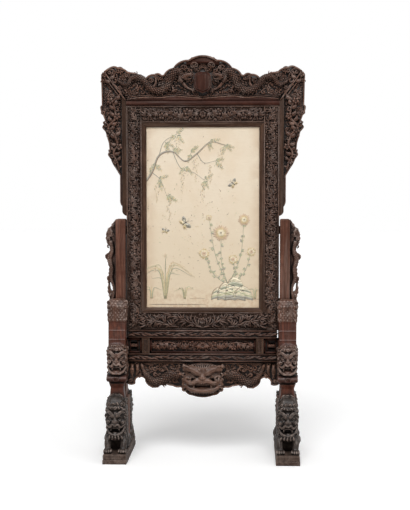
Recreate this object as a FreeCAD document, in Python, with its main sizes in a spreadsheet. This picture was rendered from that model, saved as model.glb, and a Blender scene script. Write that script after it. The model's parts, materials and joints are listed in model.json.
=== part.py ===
import FreeCAD, Part
import os
from types import SimpleNamespace

from FreeCAD import Vector
from Sketcher import Constraint

# A carved hardwood floor screen: a stand on two shoe feet and a framed silk panel that lifts out of it.
# Millimetres. X runs to the viewer's right, Y to the rear and Z up, from a point on the floor midway
# between the feet. The right half is modelled and mirrored to the left, and front carvings to the rear.

SIZES = {
    # shoe feet
    "foot_set_out": 37.0,
    "plinth_margin": 3.0,
    "plinth_toe": 14.0,
    "plinth_base_height": 20.0,
    "plinth_waist_height": 6.0,
    "plinth_waist_inset": 4.0,
    "plinth_cap_height": 22.0,
    "plinth_cap_inset": 1.5,
    "plinth_bevel": 5.0,
    # posts
    "post_width": 48.0,
    "post_depth": 76.0,
    "post_top": 1190.0,
    "post_bevel": 5.0,
    "post_foot_width": 100.0,
    "post_stage_step": 24.0,
    "post_tenon_width": 26.0,
    "post_tenon_depth": 44.0,
    "post_tenon_length": 30.0,
    "groove_width": 17.0,
    "groove_depth": 14.0,
    # rails between the posts
    "lower_rail_base": 476.0,
    "rail_height": 41.0,
    "rail_front_setback": 4.0,
    "rail_rear_setback": 12.0,
    "rail_bead": 8.0,
    "rail_channel_depth": 9.0,
    "rail_tenon_length": 20.0,
    "rail_tenon_height": 24.0,
    "rail_tenon_thickness": 16.0,
    "leaf_rise": 7.0,
    # panels between the rails
    "panel_height": 77.0,
    "end_panel_width": 81.0,
    "panel_stile_width": 38.0,
    "panel_stile_depth": 52.0,
    "panel_stile_sinking": 4.0,
    "panel_stile_tenon": 12.0,
    "panel_stile_tenon_width": 19.0,
    "panel_stile_tenon_depth": 16.0,
    "panel_thickness": 26.0,
    "panel_setback": 14.0,
    "panel_border": 10.0,
    "panel_field_depth": 12.0,
    "scroll_rise": 9.0,
    # apron
    "apron_drop": 182.0,
    "apron_thickness": 34.0,
    "apron_hollow_depth": 12.0,
    "mask_width": 206.0,
    "mask_height": 158.0,
    "mask_rise": 16.0,
    "mask_feature_rise": 9.0,
    "mask_eye": 9.0,
    # guardian lions on the plinths
    "lion_height": 252.0,
    "lion_width": 112.0,
    "lion_length": 178.0,
    "lion_nose": 13.0,
    "lion_eye": 9.0,
    "lion_feature_rise": 7.0,
    "lion_hollow_depth": 60.0,
    # standing spandrels above the lions
    "spandrel_height": 490.0,
    "spandrel_width": 108.0,
    "spandrel_reach": 112.0,
    "spandrel_nose": 12.0,
    "spandrel_eye": 8.0,
    "spandrel_feature_rise": 6.0,
    "spandrel_line_width": 3.0,
    "spandrel_line_depth": 3.0,
    # dragons on the outer faces of the posts
    "side_dragon_height": 496.0,
    "side_dragon_reach": 50.0,
    "side_dragon_thickness": 44.0,
    "side_dragon_hollow_depth": 9.0,
    # carved frame of the panel
    "frame_width": 760.0,
    "frame_height": 1115.0,
    "frame_thickness": 36.0,
    "frame_side_gap": 5.0,
    "frame_stile_width": 77.0,
    "frame_top_width": 83.0,
    "frame_bottom_width": 89.0,
    "frame_bead": 7.0,
    "frame_field_depth": 6.0,
    "frame_tenon_length": 40.0,
    "frame_tenon_thickness": 12.0,
    "frame_tenon_shoulder": 14.0,
    # slip mouldings round the silk
    "slip_width": 22.0,
    "slip_flat": 8.0,
    "slip_thickness": 15.0,
    "slip_lip": 6.0,
    "slip_setback": 3.0,
    # silk and what backs it
    "silk_thickness": 1.0,
    "silk_board_thickness": 7.0,
    "batten_width": 45.0,
    "batten_thickness": 12.0,
    "batten_overlap": 36.0,
    "batten_inset": 190.0,
    "batten_bevel": 3.0,
    "nail_head": 9.0,
    "nail_head_rise": 2.0,
    "nail_shank": 3.0,
    "nail_length": 22.0,
    "nail_spacing": 18.0,
    # crest and wings
    "moulding_height": 25.0,
    "moulding_depth": 46.0,
    "moulding_nose": 8.0,
    "crest_rise": 225.0,
    "crest_thickness": 40.0,
    "crest_hollow_depth": 16.0,
    "crest_mitre_rise": 143.0,
    "crest_mitre_inset": 10.0,
    "shield_width": 88.0,
    "shield_height": 104.0,
    "shield_base": 36.0,
    "shield_rise": 6.0,
    "shield_step": 6.0,
    "wing_reach": 125.0,
    "wing_foot_gap": 15.0,
    "wing_foot_rise": 45.0,
    "wing_thickness": 36.0,
    "wing_hollow_depth": 12.0,
    "strip_width": 22.0,
    "strip_depth": 30.0,
    "crest_tenon_width": 60.0,
    "crest_tenon_thickness": 10.0,
    "crest_tenon_length": 60.0,
    "crest_tenon_inset": 63.0,
    # lugs that run in the grooves of the posts
    "lug_height": 40.0,
    "lug_play": 0.5,
    "lug_tenon": 14.0,
    "lug_tenon_thickness": 8.0,
    "lug_shoulder": 6.0,
    "lug_upper_setback": 35.0,
    "lug_lower_height": 60.0,
    # fits
    "joint_clearance": 0.3,
    "overrun": 3.0,
}

COUNTS = {"leaf_count": 13, "scroll_count": 8, "fret_count": 3, "plank_count": 3}

doc = FreeCAD.newDocument("carved_screen")
sheet = doc.addObject("Spreadsheet::Sheet", "sizes")
for row, (alias, number) in enumerate({**SIZES, **COUNTS}.items(), 1):
    sheet.set(f"A{row}", alias)
    sheet.set(f"B{row}", str(number))
    sheet.setAlias(f"B{row}", alias)
doc.recompute()


class Length:
    """A sum of named sizes, each times a share, that knows its value and its expression."""

    def __init__(self, shares):
        self.shares = shares

    def __add__(self, other):
        total = dict(self.shares)
        for name, share in other.shares.items():
            total[name] = total.get(name, 0) + share
        return Length(total)

    def __mul__(self, share):
        return Length({name: own * share for name, own in self.shares.items()})

    __rmul__ = __mul__

    def __neg__(self):
        return self * -1

    def __sub__(self, other):
        return self + -other

    def __truediv__(self, number):
        return self * (1 / number)

    @property
    def value(self):
        return sum(float(sheet.get(name)) * share for name, share in self.shares.items())

    @property
    def text(self):
        return " + ".join(f"sizes.{name} * {share:.9f}" for name, share in self.shares.items()) or "0"


size = SimpleNamespace(**{name: Length({name: 1.0}) for name in SIZES})
ZERO = Length({})
SLACK = size.joint_clearance

# Places that several pieces share
PLINTH_TOP = size.plinth_base_height + size.plinth_waist_height + size.plinth_cap_height
FRAME_SIDE = size.frame_width / 2
FRAME_FRONT = size.frame_thickness / 2
POST_FACE = FRAME_SIDE + size.frame_side_gap
POST_FRONT = size.post_depth / 2
FOOT_CENTRE = POST_FACE + size.foot_set_out
RAIL_FRONT = POST_FRONT - size.rail_front_setback
RAIL_REAR = POST_FRONT - size.rail_rear_setback
RAIL_MIDDLE = (RAIL_REAR - RAIL_FRONT) / 2
PANEL_BASE = size.lower_rail_base + size.rail_height
UPPER_RAIL_BASE = PANEL_BASE + size.panel_height
RAIL_TOP = UPPER_RAIL_BASE + size.rail_height
STILE_CENTRE = POST_FACE - size.end_panel_width - size.panel_stile_width / 2
SCREEN_BASE = RAIL_TOP + SLACK
SCREEN_TOP = SCREEN_BASE + size.frame_height
OPENING_SIDE = FRAME_SIDE - size.frame_stile_width
OPENING_BASE = SCREEN_BASE + size.frame_bottom_width
OPENING_TOP = SCREEN_TOP - size.frame_top_width
OPENING_HEIGHT = OPENING_TOP - OPENING_BASE
SLIP_FRONT = size.slip_setback - FRAME_FRONT
SILK_FRONT = SLIP_FRONT + size.slip_thickness
BOARD_FRONT = SILK_FRONT + size.silk_thickness
PLANK_FRONT = BOARD_FRONT + size.silk_board_thickness
BATTEN_REAR = FRAME_FRONT + size.batten_thickness
BATTEN_BASES = (OPENING_BASE + size.batten_inset, OPENING_TOP - size.batten_inset - size.batten_width)
CREST_BASE = SCREEN_TOP + size.moulding_height
CREST_HALF = FRAME_SIDE + size.wing_reach
MITRE_TOP = CREST_HALF - size.crest_mitre_inset
STRIP_FOOT = size.post_top + size.wing_foot_gap
CREST_TENON_MIDDLE = OPENING_SIDE - size.crest_tenon_inset
CREST_TENON_SINKING = (size.crest_tenon_length - size.moulding_height) / 2
LUG_HEIGHTS = {
    "lower": size.lug_lower_height,
    "upper": size.post_top - size.lug_upper_setback - size.lug_height - SCREEN_BASE,
}

# How far an eye's lids bow out, as a share of its length
EYE_BOW = 0.2
STRIP_FOOT_BOW = 0.15

PIECES = []


def new_piece(label):
    """Start a sub-part as a body of its own."""
    piece = doc.addObject("PartDesign::Body", label)
    piece.Label = label
    PIECES.append(piece)
    return piece


def place(piece, x, y, z):
    """Tie a sub-part's place to the sheet."""
    for axis, length in (("x", x), ("y", y), ("z", z)):
        piece.setExpression(f"Placement.Base.{axis}", length.text)


def mirrored(source, label, normal):
    """A sub-part that is the mirror twin of another, about a plane through the origin."""
    twin = doc.addObject("Part::Mirroring", label)
    twin.Label = label
    twin.Source = source
    twin.Normal = normal
    PIECES.append(twin)
    return twin


def left_twin(source):
    return mirrored(source, source.Label.replace("right", "left"), Vector(1, 0, 0))


def rear_twin(source):
    return mirrored(source, source.Label.replace("front", "rear"), Vector(0, 1, 0))


def rectangle(left, bottom, right, top):
    return [(left, bottom), (right, bottom), (right, top), (left, top)]


def centred(width, depth):
    return rectangle(width / -2, depth / -2, width / 2, depth / 2)


def lens(x, y, reach_x, reach_y, bow):
    """A leaf shape of two arcs, from one tip to the other."""
    return [(x - reach_x, y - reach_y, bow), (x + reach_x, y + reach_y, bow)]


def scaled(shares, width, height):
    """Corners from a table of shares of a width and a height, with the bow of each edge."""
    return [(width * across, height * up, bow) for across, up, bow in shares]


def lenses(shares, width, height):
    """Leaf shapes from a table of places, reaches and bows."""
    return [lens(width * across, height * up, width * reach_x, height * reach_y, bow)
            for across, up, reach_x, reach_y, bow in shares]


def both_sides(half):
    """A right-hand outline, from the centre line round and back to it, with its left-hand twin."""
    last_x, last_y, _ = half[-1]
    left = [(-x, y, half[i][2]) for i, (x, y, _) in enumerate(half[1:-1])]
    return half[:-1] + [(last_x, last_y, half[-2][2])] + left[::-1]


def draw(sketch, corners):
    """Close an outline of lines and arcs, every corner and radius tied to the sheet."""
    first = sketch.GeometryCount
    spots = [Vector(corner[0].value, corner[1].value, 0) for corner in corners]
    ends = []
    rules = []
    for i, corner in enumerate(corners):
        start, end = spots[i], spots[(i + 1) % len(spots)]
        bow = corner[2] if len(corner) > 2 else 0
        if not bow:
            sketch.addGeometry(Part.LineSegment(start, end), False)
            ends.append((1, 2))
            continue
        across = end - start
        middle = (start + end) / 2 + Vector(across.y, -across.x, 0) * bow
        ccw = (start, middle, end) if bow > 0 else (end, middle, start)
        sketch.addGeometry(Part.Arc(*ccw), False)
        ends.append((1, 2) if bow > 0 else (2, 1))
        following = corners[(i + 1) % len(spots)]
        chord = f"hypot({(following[0] - corner[0]).text}; {(following[1] - corner[1]).text})"
        radius_share = (4 * bow * bow + 1) / (8 * abs(bow))
        rule = Constraint("Radius", first + i, across.Length * radius_share)
        rules.append((rule, f"{chord} * {radius_share:.9f}"))
    for i, corner in enumerate(corners):
        edge, start = first + i, ends[i][0]
        before = first + (i - 1) % len(corners)
        sketch.addConstraint(Constraint("Coincident", before, ends[i - 1][1], edge, start))
        for kind, length, axis in (("DistanceX", corner[0], -2), ("DistanceY", corner[1], -1)):
            if length.shares:
                rules.append((Constraint(kind, -1, 1, edge, start, length.value), length.text))
            else:
                sketch.addConstraint(Constraint("PointOnObject", edge, start, axis))
    for rule, text in rules:
        sketch.setExpression(f"Constraints[{sketch.addConstraint(rule)}]", text)


def origin_plane(piece, role):
    return next(feature for feature in piece.Origin.OriginFeatures if feature.Role == role)


def new_sketch(piece, role, offset, outlines):
    """A sketch on one of the sub-part's own planes, moved along the plane's normal."""
    sketch = piece.newObject("Sketcher::SketchObject", f"{piece.Label}_outline")
    sketch.AttachmentSupport = [(origin_plane(piece, role), "")]
    sketch.MapMode = "FlatFace"
    sketch.setExpression("AttachmentOffset.Base.z", offset.text)
    for corners in outlines:
        draw(sketch, corners)
    return sketch


def feature_of(piece, kind, name, role, offset, outlines, length):
    feature = piece.newObject(f"PartDesign::{kind}", f"{piece.Label}_{name}")
    feature.Profile = new_sketch(piece, role, offset, outlines)
    feature.setExpression("Length", length.text)
    piece.Tip = feature
    return feature


def front_pad(piece, name, rear, depth, *outlines):
    """A solid with its outline in front view, from the rear place forward by its depth."""
    return feature_of(piece, "Pad", name, "XZ_Plane", -rear, outlines, depth)


def side_pad(piece, name, left, width, *outlines):
    """A solid with its outline in side view, from the left place to the right by its width."""
    return feature_of(piece, "Pad", name, "YZ_Plane", left, outlines, width)


def plan_pad(piece, name, base, height, *outlines):
    """A solid with its outline in plan, from the base up by its height."""
    return feature_of(piece, "Pad", name, "XY_Plane", base, outlines, height)


def front_pocket(piece, name, front, depth, *outlines):
    """A hollow cut rearwards from the front place."""
    return feature_of(piece, "Pocket", name, "XZ_Plane", -front, outlines, depth)


def side_pocket(piece, name, right, depth, *outlines):
    """A hollow cut to the left from the right-hand place."""
    return feature_of(piece, "Pocket", name, "YZ_Plane", right, outlines, depth)


def plan_pocket(piece, name, top, depth, *outlines):
    """A hollow cut downwards from the top place."""
    return feature_of(piece, "Pocket", name, "XY_Plane", top, outlines, depth)


def row_of(piece, feature, count, length):
    """Repeat a feature along its sketch's horizontal axis, a counted number of times."""
    pattern = piece.newObject("PartDesign::LinearPattern", f"{piece.Label}_row")
    pattern.Originals = [feature]
    pattern.Direction = (feature.Profile[0], ["H_Axis"])
    pattern.setExpression("Length", length.text)
    pattern.setExpression("Occurrences", f"sizes.{count}")
    piece.Tip = pattern


def twin_feature(piece, feature):
    """Repeat a feature as its mirror twin on the other side of the sub-part's middle."""
    twin = piece.newObject("PartDesign::Mirrored", f"{piece.Label}_twin")
    twin.Originals = [feature]
    twin.MirrorPlane = (origin_plane(piece, "YZ_Plane"), [""])
    piece.Tip = twin


def bevel_edges(piece, bevel, axis, length):
    """Chamfer the edges of the sub-part that lie at one place along an axis."""
    doc.recompute()
    base = piece.Tip
    edges = [f"Edge{i}" for i, edge in enumerate(base.Shape.Edges, 1)
             if all(abs(getattr(vertex.Point, axis) - length.value) < edge.Length / 1e4
                    for vertex in edge.Vertexes)]
    chamfer = piece.newObject("PartDesign::Chamfer", f"{piece.Label}_bevel")
    chamfer.Base = (base, edges)
    chamfer.setExpression("Size", bevel.text)
    piece.Tip = chamfer


def foot_plinth():
    """A moulded shoe block under a pair of lions, mortised for its post."""
    piece = new_piece("right_foot_plinth")
    width = size.lion_width + 2 * size.plinth_margin
    length = 2 * (POST_FRONT + size.lion_length + size.plinth_toe)
    waist = 2 * size.plinth_waist_inset
    cap = 2 * size.plinth_cap_inset
    plan_pad(piece, "base", ZERO, size.plinth_base_height, centred(width, length))
    plan_pad(piece, "waist", size.plinth_base_height, size.plinth_waist_height,
             centred(width - waist, length - waist))
    plan_pad(piece, "cap", size.plinth_base_height + size.plinth_waist_height, size.plinth_cap_height,
             centred(width - cap, length - cap))
    bevel_edges(piece, size.plinth_bevel, "z", PLINTH_TOP)
    plan_pocket(piece, "mortise", PLINTH_TOP, size.post_tenon_length + SLACK,
                centred(size.post_tenon_width + 2 * SLACK, size.post_tenon_depth + 2 * SLACK))
    place(piece, FOOT_CENTRE, ZERO, ZERO)
    return piece


def rail_tenon_outline(middle_y, middle_z, slack):
    """The end of a rail's tenon in side view, with room round it."""
    half_thick = size.rail_tenon_thickness / 2 + slack
    half_high = size.rail_tenon_height / 2 + slack
    return rectangle(middle_y - half_thick, middle_z - half_high, middle_y + half_thick, middle_z + half_high)


def post():
    """A post in three stages, grooved for the lugs, tenoned below and mortised for the rails."""
    piece = new_piece("right_post")
    height = size.post_top - PLINTH_TOP
    inner = -size.foot_set_out
    stage_width = size.post_width + size.post_stage_step
    plan_pad(piece, "shaft", ZERO, height, rectangle(inner, -POST_FRONT, inner + size.post_width, POST_FRONT))
    bevel_edges(piece, size.post_bevel, "z", height)
    plan_pad(piece, "stage", ZERO, height - size.side_dragon_height,
             rectangle(inner, -POST_FRONT, inner + stage_width, POST_FRONT))
    plan_pad(piece, "foot", ZERO, size.lion_height, centred(size.post_foot_width, size.post_depth))
    plan_pad(piece, "tenon", -size.post_tenon_length, size.post_tenon_length,
             centred(size.post_tenon_width, size.post_tenon_depth))
    side_pocket(piece, "groove", inner + size.groove_depth, size.groove_depth + size.overrun,
                rectangle(size.groove_width / -2, RAIL_TOP - PLINTH_TOP,
                          size.groove_width / 2, height + size.overrun))
    depth = size.rail_tenon_length + SLACK
    middles = [base + size.rail_height / 2 - PLINTH_TOP for base in (size.lower_rail_base, UPPER_RAIL_BASE)]
    side_pocket(piece, "mortises", inner + depth, depth + size.overrun,
                *[rail_tenon_outline(RAIL_MIDDLE, middle, SLACK) for middle in middles])
    place(piece, FOOT_CENTRE, ZERO, PLINTH_TOP)
    return piece


# Shares of the lion's length and height in side view, from the front of its base round to it again
LION_SIDE_SHARES = (
    (-0.90, 0.0, 0), (0.0, 0.0, 0), (0.0, 1.0, 0), (-0.45, 1.0, 0.14), (-0.80, 0.90, 0.14),
    (-0.97, 0.77, 0.14), (-0.87, 0.70, 0), (-0.95, 0.62, 0), (-1.0, 0.51, 0.16), (-0.84, 0.46, 0),
    (-0.94, 0.41, 0.2), (-0.87, 0.33, 0), (-0.76, 0.28, 0), (-0.80, 0.13, 0), (-0.90, 0.12, 0),
)

# Shares of half the lion's width and of its height in front view, from the centre of its base
LION_FRONT_SHARES = (
    (0.0, 0.0, 0), (1.0, 0.0, 0), (1.0, 0.11, 0), (0.88, 0.15, 0), (0.92, 0.28, 0), (1.0, 0.36, 0),
    (1.0, 0.52, 0), (0.90, 0.60, 0), (1.0, 0.67, 0), (1.0, 0.80, 0), (0.74, 1.0, 0), (0.0, 1.0, 0),
)

# Shares of the same for the arch between the paws, one paw, and the places of an eye and the nose
LION_ARCH_SHARES = ((0.0, 0.02, 0), (0.34, 0.02, 0), (0.36, 0.10, 0.25), (0.0, 0.20, 0))
LION_PAW_SHARES = ((0.40, 0.0, 0), (0.94, 0.0, 0), (0.94, 0.08, 0.3), (0.40, 0.08, 0))
LION_EYE_SHARES = (0.42, 0.70)
LION_NOSE_SHARE = 0.61
LION_FACE_SHARES = (-0.90, -0.97)
LION_CHEST_SHARE = -0.90


def keep_inside(piece, depth, corners, width, height):
    """Saw away everything outside an outline in front view."""
    outside = rectangle(-(width + size.overrun), -size.overrun, width + size.overrun, height + size.overrun)
    front_pocket(piece, "sawn", -(depth + size.overrun), depth + 2 * size.overrun, outside, corners)


def face_features(piece, eye, nose, brow_front, nose_front, rise):
    """Leaf-shaped eyes and a blunt nose that stand forward of a face."""
    eye_x, eye_z, eye_reach = eye
    nose_z, nose_reach = nose
    eye = lens(eye_x, eye_z, eye_reach, ZERO, EYE_BOW)
    twin_feature(piece, front_pad(piece, "eye", brow_front, rise, eye))
    snout = [(nose_reach / -2, nose_z - nose_reach), (nose_reach / 2, nose_z - nose_reach),
             (nose_reach, nose_z + nose_reach, EYE_BOW), (-nose_reach, nose_z + nose_reach)]
    front_pad(piece, "nose", nose_front, rise, snout)


def guardian_lion():
    """A crouching lion, sawn to its side and front outlines, then hollowed between its paws."""
    piece = new_piece("right_front_guardian_lion")
    half, length, height = size.lion_width / 2, size.lion_length, size.lion_height
    side_pad(piece, "blank", -half, size.lion_width, scaled(LION_SIDE_SHARES, length, height))
    keep_inside(piece, length, both_sides(scaled(LION_FRONT_SHARES, half, height)), half, height)
    front_pocket(piece, "arch", -length, size.lion_hollow_depth,
                 both_sides(scaled(LION_ARCH_SHARES, half, height)))
    paw = scaled(LION_PAW_SHARES, half, height)
    chest = length * LION_CHEST_SHARE
    twin_feature(piece, front_pad(piece, "paw", chest, length + chest, paw))
    eye_across, eye_up = LION_EYE_SHARES
    brow_front, nose_front = [length * share for share in LION_FACE_SHARES]
    face_features(piece, (half * eye_across, height * eye_up, size.lion_eye),
                  (height * LION_NOSE_SHARE, size.lion_nose), brow_front, nose_front, size.lion_feature_rise)
    place(piece, FOOT_CENTRE, -POST_FRONT, PLINTH_TOP)
    return piece


# Shares of the spandrel's reach and height in side view: neck, ball, lion mask, plain plate, scales
SPANDREL_SIDE_SHARES = (
    (-0.66, 0.0, 0), (0.0, 0.0, 0), (0.0, 1.0, 0), (-0.20, 1.0, 0.2), (-0.42, 0.95, 0.15),
    (-0.44, 0.90, 0), (-0.40, 0.895, 0), (-0.62, 0.545, 0), (-0.84, 0.53, 0.15), (-1.0, 0.46, 0.1),
    (-0.90, 0.41, 0), (-1.0, 0.37, 0.16), (-0.95, 0.325, 0), (-0.84, 0.31, 0), (-0.94, 0.28, 0),
    (-0.80, 0.253, 0), (-0.94, 0.235, 0.3), (-0.80, 0.17, 0), (-0.68, 0.15, 0),
)

# Shares of half the spandrel's width and of its height in front view
SPANDREL_FRONT_SHARES = (
    (0.0, 0.0, 0), (0.76, 0.0, 0), (0.74, 0.165, 0), (0.86, 0.172, 0.25), (0.86, 0.252, 0),
    (0.96, 0.262, 0), (0.94, 0.33, 0), (1.0, 0.36, 0), (1.0, 0.46, 0), (0.90, 0.53, 0),
    (0.80, 0.55, 0), (0.82, 0.895, 0), (0.88, 0.90, 0), (0.84, 0.97, 0), (0.66, 1.0, 0), (0.0, 1.0, 0),
)

SPANDREL_EYE_SHARES = (0.42, 0.46)
SPANDREL_NOSE_SHARE = 0.415
SPANDREL_FACE_SHARES = (-0.93, -0.95)

# Heights of the fine lines cut across the plain plate, and how far forward the plate stands at each
SPANDREL_LINE_SHARES = ((0.60, -0.585), (0.72, -0.510), (0.86, -0.422))


def standing_spandrel():
    """The bracket that braces a post: a neck, a ball and a lion mask under a plain tapering plate."""
    piece = new_piece("right_front_spandrel")
    half, reach, height = size.spandrel_width / 2, size.spandrel_reach, size.spandrel_height
    side_pad(piece, "blank", -half, size.spandrel_width, scaled(SPANDREL_SIDE_SHARES, reach, height))
    keep_inside(piece, reach, both_sides(scaled(SPANDREL_FRONT_SHARES, half, height)), half, height)
    for up, forward in SPANDREL_LINE_SHARES:
        line_base = height * up
        front_pocket(piece, "line", reach * forward - size.spandrel_line_depth, 2 * size.spandrel_line_depth,
                     rectangle(-half, line_base, half, line_base + size.spandrel_line_width))
    eye_across, eye_up = SPANDREL_EYE_SHARES
    brow_front, nose_front = [reach * share for share in SPANDREL_FACE_SHARES]
    face_features(piece, (half * eye_across, height * eye_up, size.spandrel_eye),
                  (height * SPANDREL_NOSE_SHARE, size.spandrel_nose), brow_front, nose_front,
                  size.spandrel_feature_rise)
    place(piece, FOOT_CENTRE, -POST_FRONT, PLINTH_TOP + size.lion_height)
    return piece


# Shares of the side dragon's reach and height, from the foot of its inner edge
SIDE_DRAGON_SHARES = (
    (0.0, 0.0, 0), (0.50, 0.0, 0), (0.66, 0.04, 0.05), (0.68, 0.20, 0), (0.78, 0.24, 0.08),
    (0.80, 0.34, 0), (0.88, 0.40, 0.12), (0.56, 0.45, -0.1), (0.58, 0.56, 0), (0.98, 0.59, 0.28),
    (0.80, 0.66, -0.1), (0.38, 0.685, -0.1), (0.84, 0.75, 0.1), (1.0, 0.82, 0.14), (0.46, 0.93, 0.05),
    (0.0, 1.0, 0),
)
SIDE_DRAGON_HOLE_SHARES = ((0.28, 0.27, 0.2), (0.62, 0.30, 0), (0.66, 0.355, 0.3), (0.30, 0.35, 0))
SIDE_DRAGON_HOLLOW_SHARES = (
    (0.38, 0.10, 0.18, 0.025, 0.12), (0.42, 0.19, 0.18, 0.025, 0.12), (0.50, 0.80, 0.20, 0.04, 0.12),
)


def side_dragon():
    """An openwork dragon that climbs the outer face of a post."""
    piece = new_piece("right_side_dragon")
    reach, height, depth = size.side_dragon_reach, size.side_dragon_height, size.side_dragon_thickness
    front_pad(piece, "body", depth / 2, depth, scaled(SIDE_DRAGON_SHARES, reach, height),
              scaled(SIDE_DRAGON_HOLE_SHARES, reach, height))
    hollows = lenses(SIDE_DRAGON_HOLLOW_SHARES, reach, height)
    front_pocket(piece, "front_hollows", depth / -2, size.side_dragon_hollow_depth, *hollows)
    front_pocket(piece, "rear_hollows", depth / 2 - size.side_dragon_hollow_depth,
                 size.side_dragon_hollow_depth + size.overrun, *hollows)
    place(piece, POST_FACE + size.post_width, ZERO, size.post_top - height)
    return piece


# Shares of a leaf's pitch and of the channel's height that a running leaf takes up, and its bow
LEAF_SHARES = (0.36, 0.72, 0.07)


def rail(label, base):
    """A rail with a bead above and below a channel, where a row of slanting leaves runs."""
    piece = new_piece(label)
    half_high = size.rail_height / 2
    floor = size.rail_channel_depth - RAIL_FRONT
    inner_high = half_high - size.rail_bead
    section = [(-RAIL_FRONT, -half_high), (RAIL_REAR, -half_high), (RAIL_REAR, half_high),
               (-RAIL_FRONT, half_high), (-RAIL_FRONT, inner_high), (floor, inner_high),
               (floor, -inner_high), (-RAIL_FRONT, -inner_high)]
    side_pad(piece, "bar", -POST_FACE, 2 * POST_FACE, section)
    pitch = 2 * POST_FACE / COUNTS["leaf_count"]
    across, up, bow = LEAF_SHARES
    leaf = lens(pitch / 2 - POST_FACE, ZERO, pitch * across, inner_high * up, bow)
    row_of(piece, front_pad(piece, "leaf", floor, size.leaf_rise, leaf), "leaf_count", 2 * POST_FACE - pitch)
    tenon = rail_tenon_outline(RAIL_MIDDLE, ZERO, ZERO)
    side_pad(piece, "left_tenon", -POST_FACE - size.rail_tenon_length, size.rail_tenon_length, tenon)
    side_pad(piece, "right_tenon", POST_FACE, size.rail_tenon_length, tenon)
    depth = size.panel_stile_tenon + SLACK
    top = half_high if label == "lower_rail" else depth - half_high
    mortise = stile_tenon_outline(STILE_CENTRE, SLACK)
    twin_feature(piece, plan_pocket(piece, "stile_mortise", top, depth, mortise))
    place(piece, ZERO, ZERO, base + half_high)


def stile_tenon_outline(middle_x, slack):
    """A panel stile's tenon in plan, with room round it."""
    half_wide = size.panel_stile_tenon_width / 2 + slack
    half_deep = size.panel_stile_tenon_depth / 2 + slack
    front = RAIL_MIDDLE - half_deep
    return rectangle(middle_x - half_wide, front, middle_x + half_wide, front + 2 * half_deep)


def panel_stile():
    """A short upright that parts the long panel from the end panel."""
    piece = new_piece("right_panel_stile")
    half_wide, half_deep = size.panel_stile_width / 2, size.panel_stile_depth / 2
    front = RAIL_MIDDLE - half_deep
    plan_pad(piece, "bar", ZERO, size.panel_height,
             rectangle(-half_wide, front, half_wide, front + 2 * half_deep))
    tenon = stile_tenon_outline(ZERO, ZERO)
    plan_pad(piece, "lower_tenon", -size.panel_stile_tenon, size.panel_stile_tenon, tenon)
    plan_pad(piece, "upper_tenon", size.panel_height, size.panel_stile_tenon, tenon)
    edge = half_wide - size.panel_border
    front_pocket(piece, "sinking", front, size.panel_stile_sinking,
                 rectangle(-edge, size.panel_border, edge, size.panel_height - size.panel_border))
    place(piece, STILE_CENTRE, ZERO, PANEL_BASE)
    return piece


def carved_panel(label, width, middle, count, slant_share, bow):
    """A panel whose sunk field holds a row of scrolls or frets inside a flat border."""
    piece = new_piece(label)
    half = width / 2
    front_pad(piece, "board", size.panel_thickness, size.panel_thickness,
              rectangle(-half, ZERO, half, size.panel_height))
    edge = half - size.panel_border
    top = size.panel_height - size.panel_border
    front_pocket(piece, "field", ZERO, size.panel_field_depth, rectangle(-edge, size.panel_border, edge, top))
    pitch = 2 * edge / COUNTS[count]
    scroll = lens(pitch / 2 - edge, size.panel_height / 2, pitch * slant_share,
                  size.panel_height / 2 - size.panel_border, bow)
    row_of(piece, front_pad(piece, "scroll", size.panel_field_depth, size.scroll_rise, scroll),
           count, 2 * edge - pitch)
    place(piece, middle, size.panel_setback - RAIL_FRONT, PANEL_BASE)
    return piece


# Shares of half the gap between the posts and of the apron's drop, from the centre of its lower edge
APRON_SHARES = (
    (0.0, -1.0, 0.045), (0.14, -0.945, 0.12), (0.22, -0.86, 0), (0.25, -0.79, -0.1), (0.295, -0.725, 0.1),
    (0.39, -0.69, 0.05), (0.50, -0.63, -0.05), (0.58, -0.725, 0.15), (0.72, -0.66, 0.12), (0.755, -0.50, -0.2),
    (0.86, -0.48, -0.15), (0.885, -0.64, 0.15), (1.0, -0.615, 0), (1.0, 0.0, 0), (0.0, 0.0, 0),
)

# Places and reaches of the apron's hollows on one side, in the same shares
APRON_HOLLOW_SHARES = (
    (0.40, -0.42, -0.10, 0.16, 0.12), (0.55, -0.20, -0.12, 0.10, 0.12), (0.66, -0.46, -0.05, 0.14, 0.12),
    (0.86, -0.26, 0.0, 0.17, 0.07), (0.93, -0.28, 0.0, 0.15, 0.07),
)


def apron():
    """The shaped board under the lower rail, with a dragon either side of its mask."""
    piece = new_piece("apron")
    front = RAIL_MIDDLE - size.apron_thickness / 2
    front_pad(piece, "board", front + size.apron_thickness, size.apron_thickness,
              both_sides(scaled(APRON_SHARES, POST_FACE, size.apron_drop)))
    hollows = lenses(APRON_HOLLOW_SHARES, POST_FACE, size.apron_drop)
    twin_feature(piece, front_pocket(piece, "hollows", front, size.apron_hollow_depth, *hollows))
    place(piece, ZERO, ZERO, size.lower_rail_base)


# Shares of half the mask's width and of its height, from the centre of its chin
MASK_SHARES = (
    (0.0, 0.0, 0.03), (0.40, 0.06, 0.12), (0.78, 0.22, 0.12), (0.96, 0.46, 0), (0.88, 0.56, 0),
    (1.0, 0.66, 0.2), (0.90, 0.90, 0), (0.55, 1.0, 0), (0.0, 1.0, 0),
)
MASK_MOUTH_SHARES = ((0.0, 0.24, 0.05), (0.50, 0.33, 0), (0.56, 0.42, -0.05), (0.0, 0.32, 0))
MASK_MUZZLE_SHARES = (
    (0.0, 0.34, 0), (0.58, 0.44, 0.1), (0.66, 0.54, 0.08), (0.34, 0.56, 0), (0.18, 0.68, 0), (0.0, 0.70, 0),
)
MASK_BROW_SHARES = (0.40, 0.84, 0.26, 0.05, 0.16)
MASK_EYE_SHARES = (0.42, 0.66)


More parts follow.
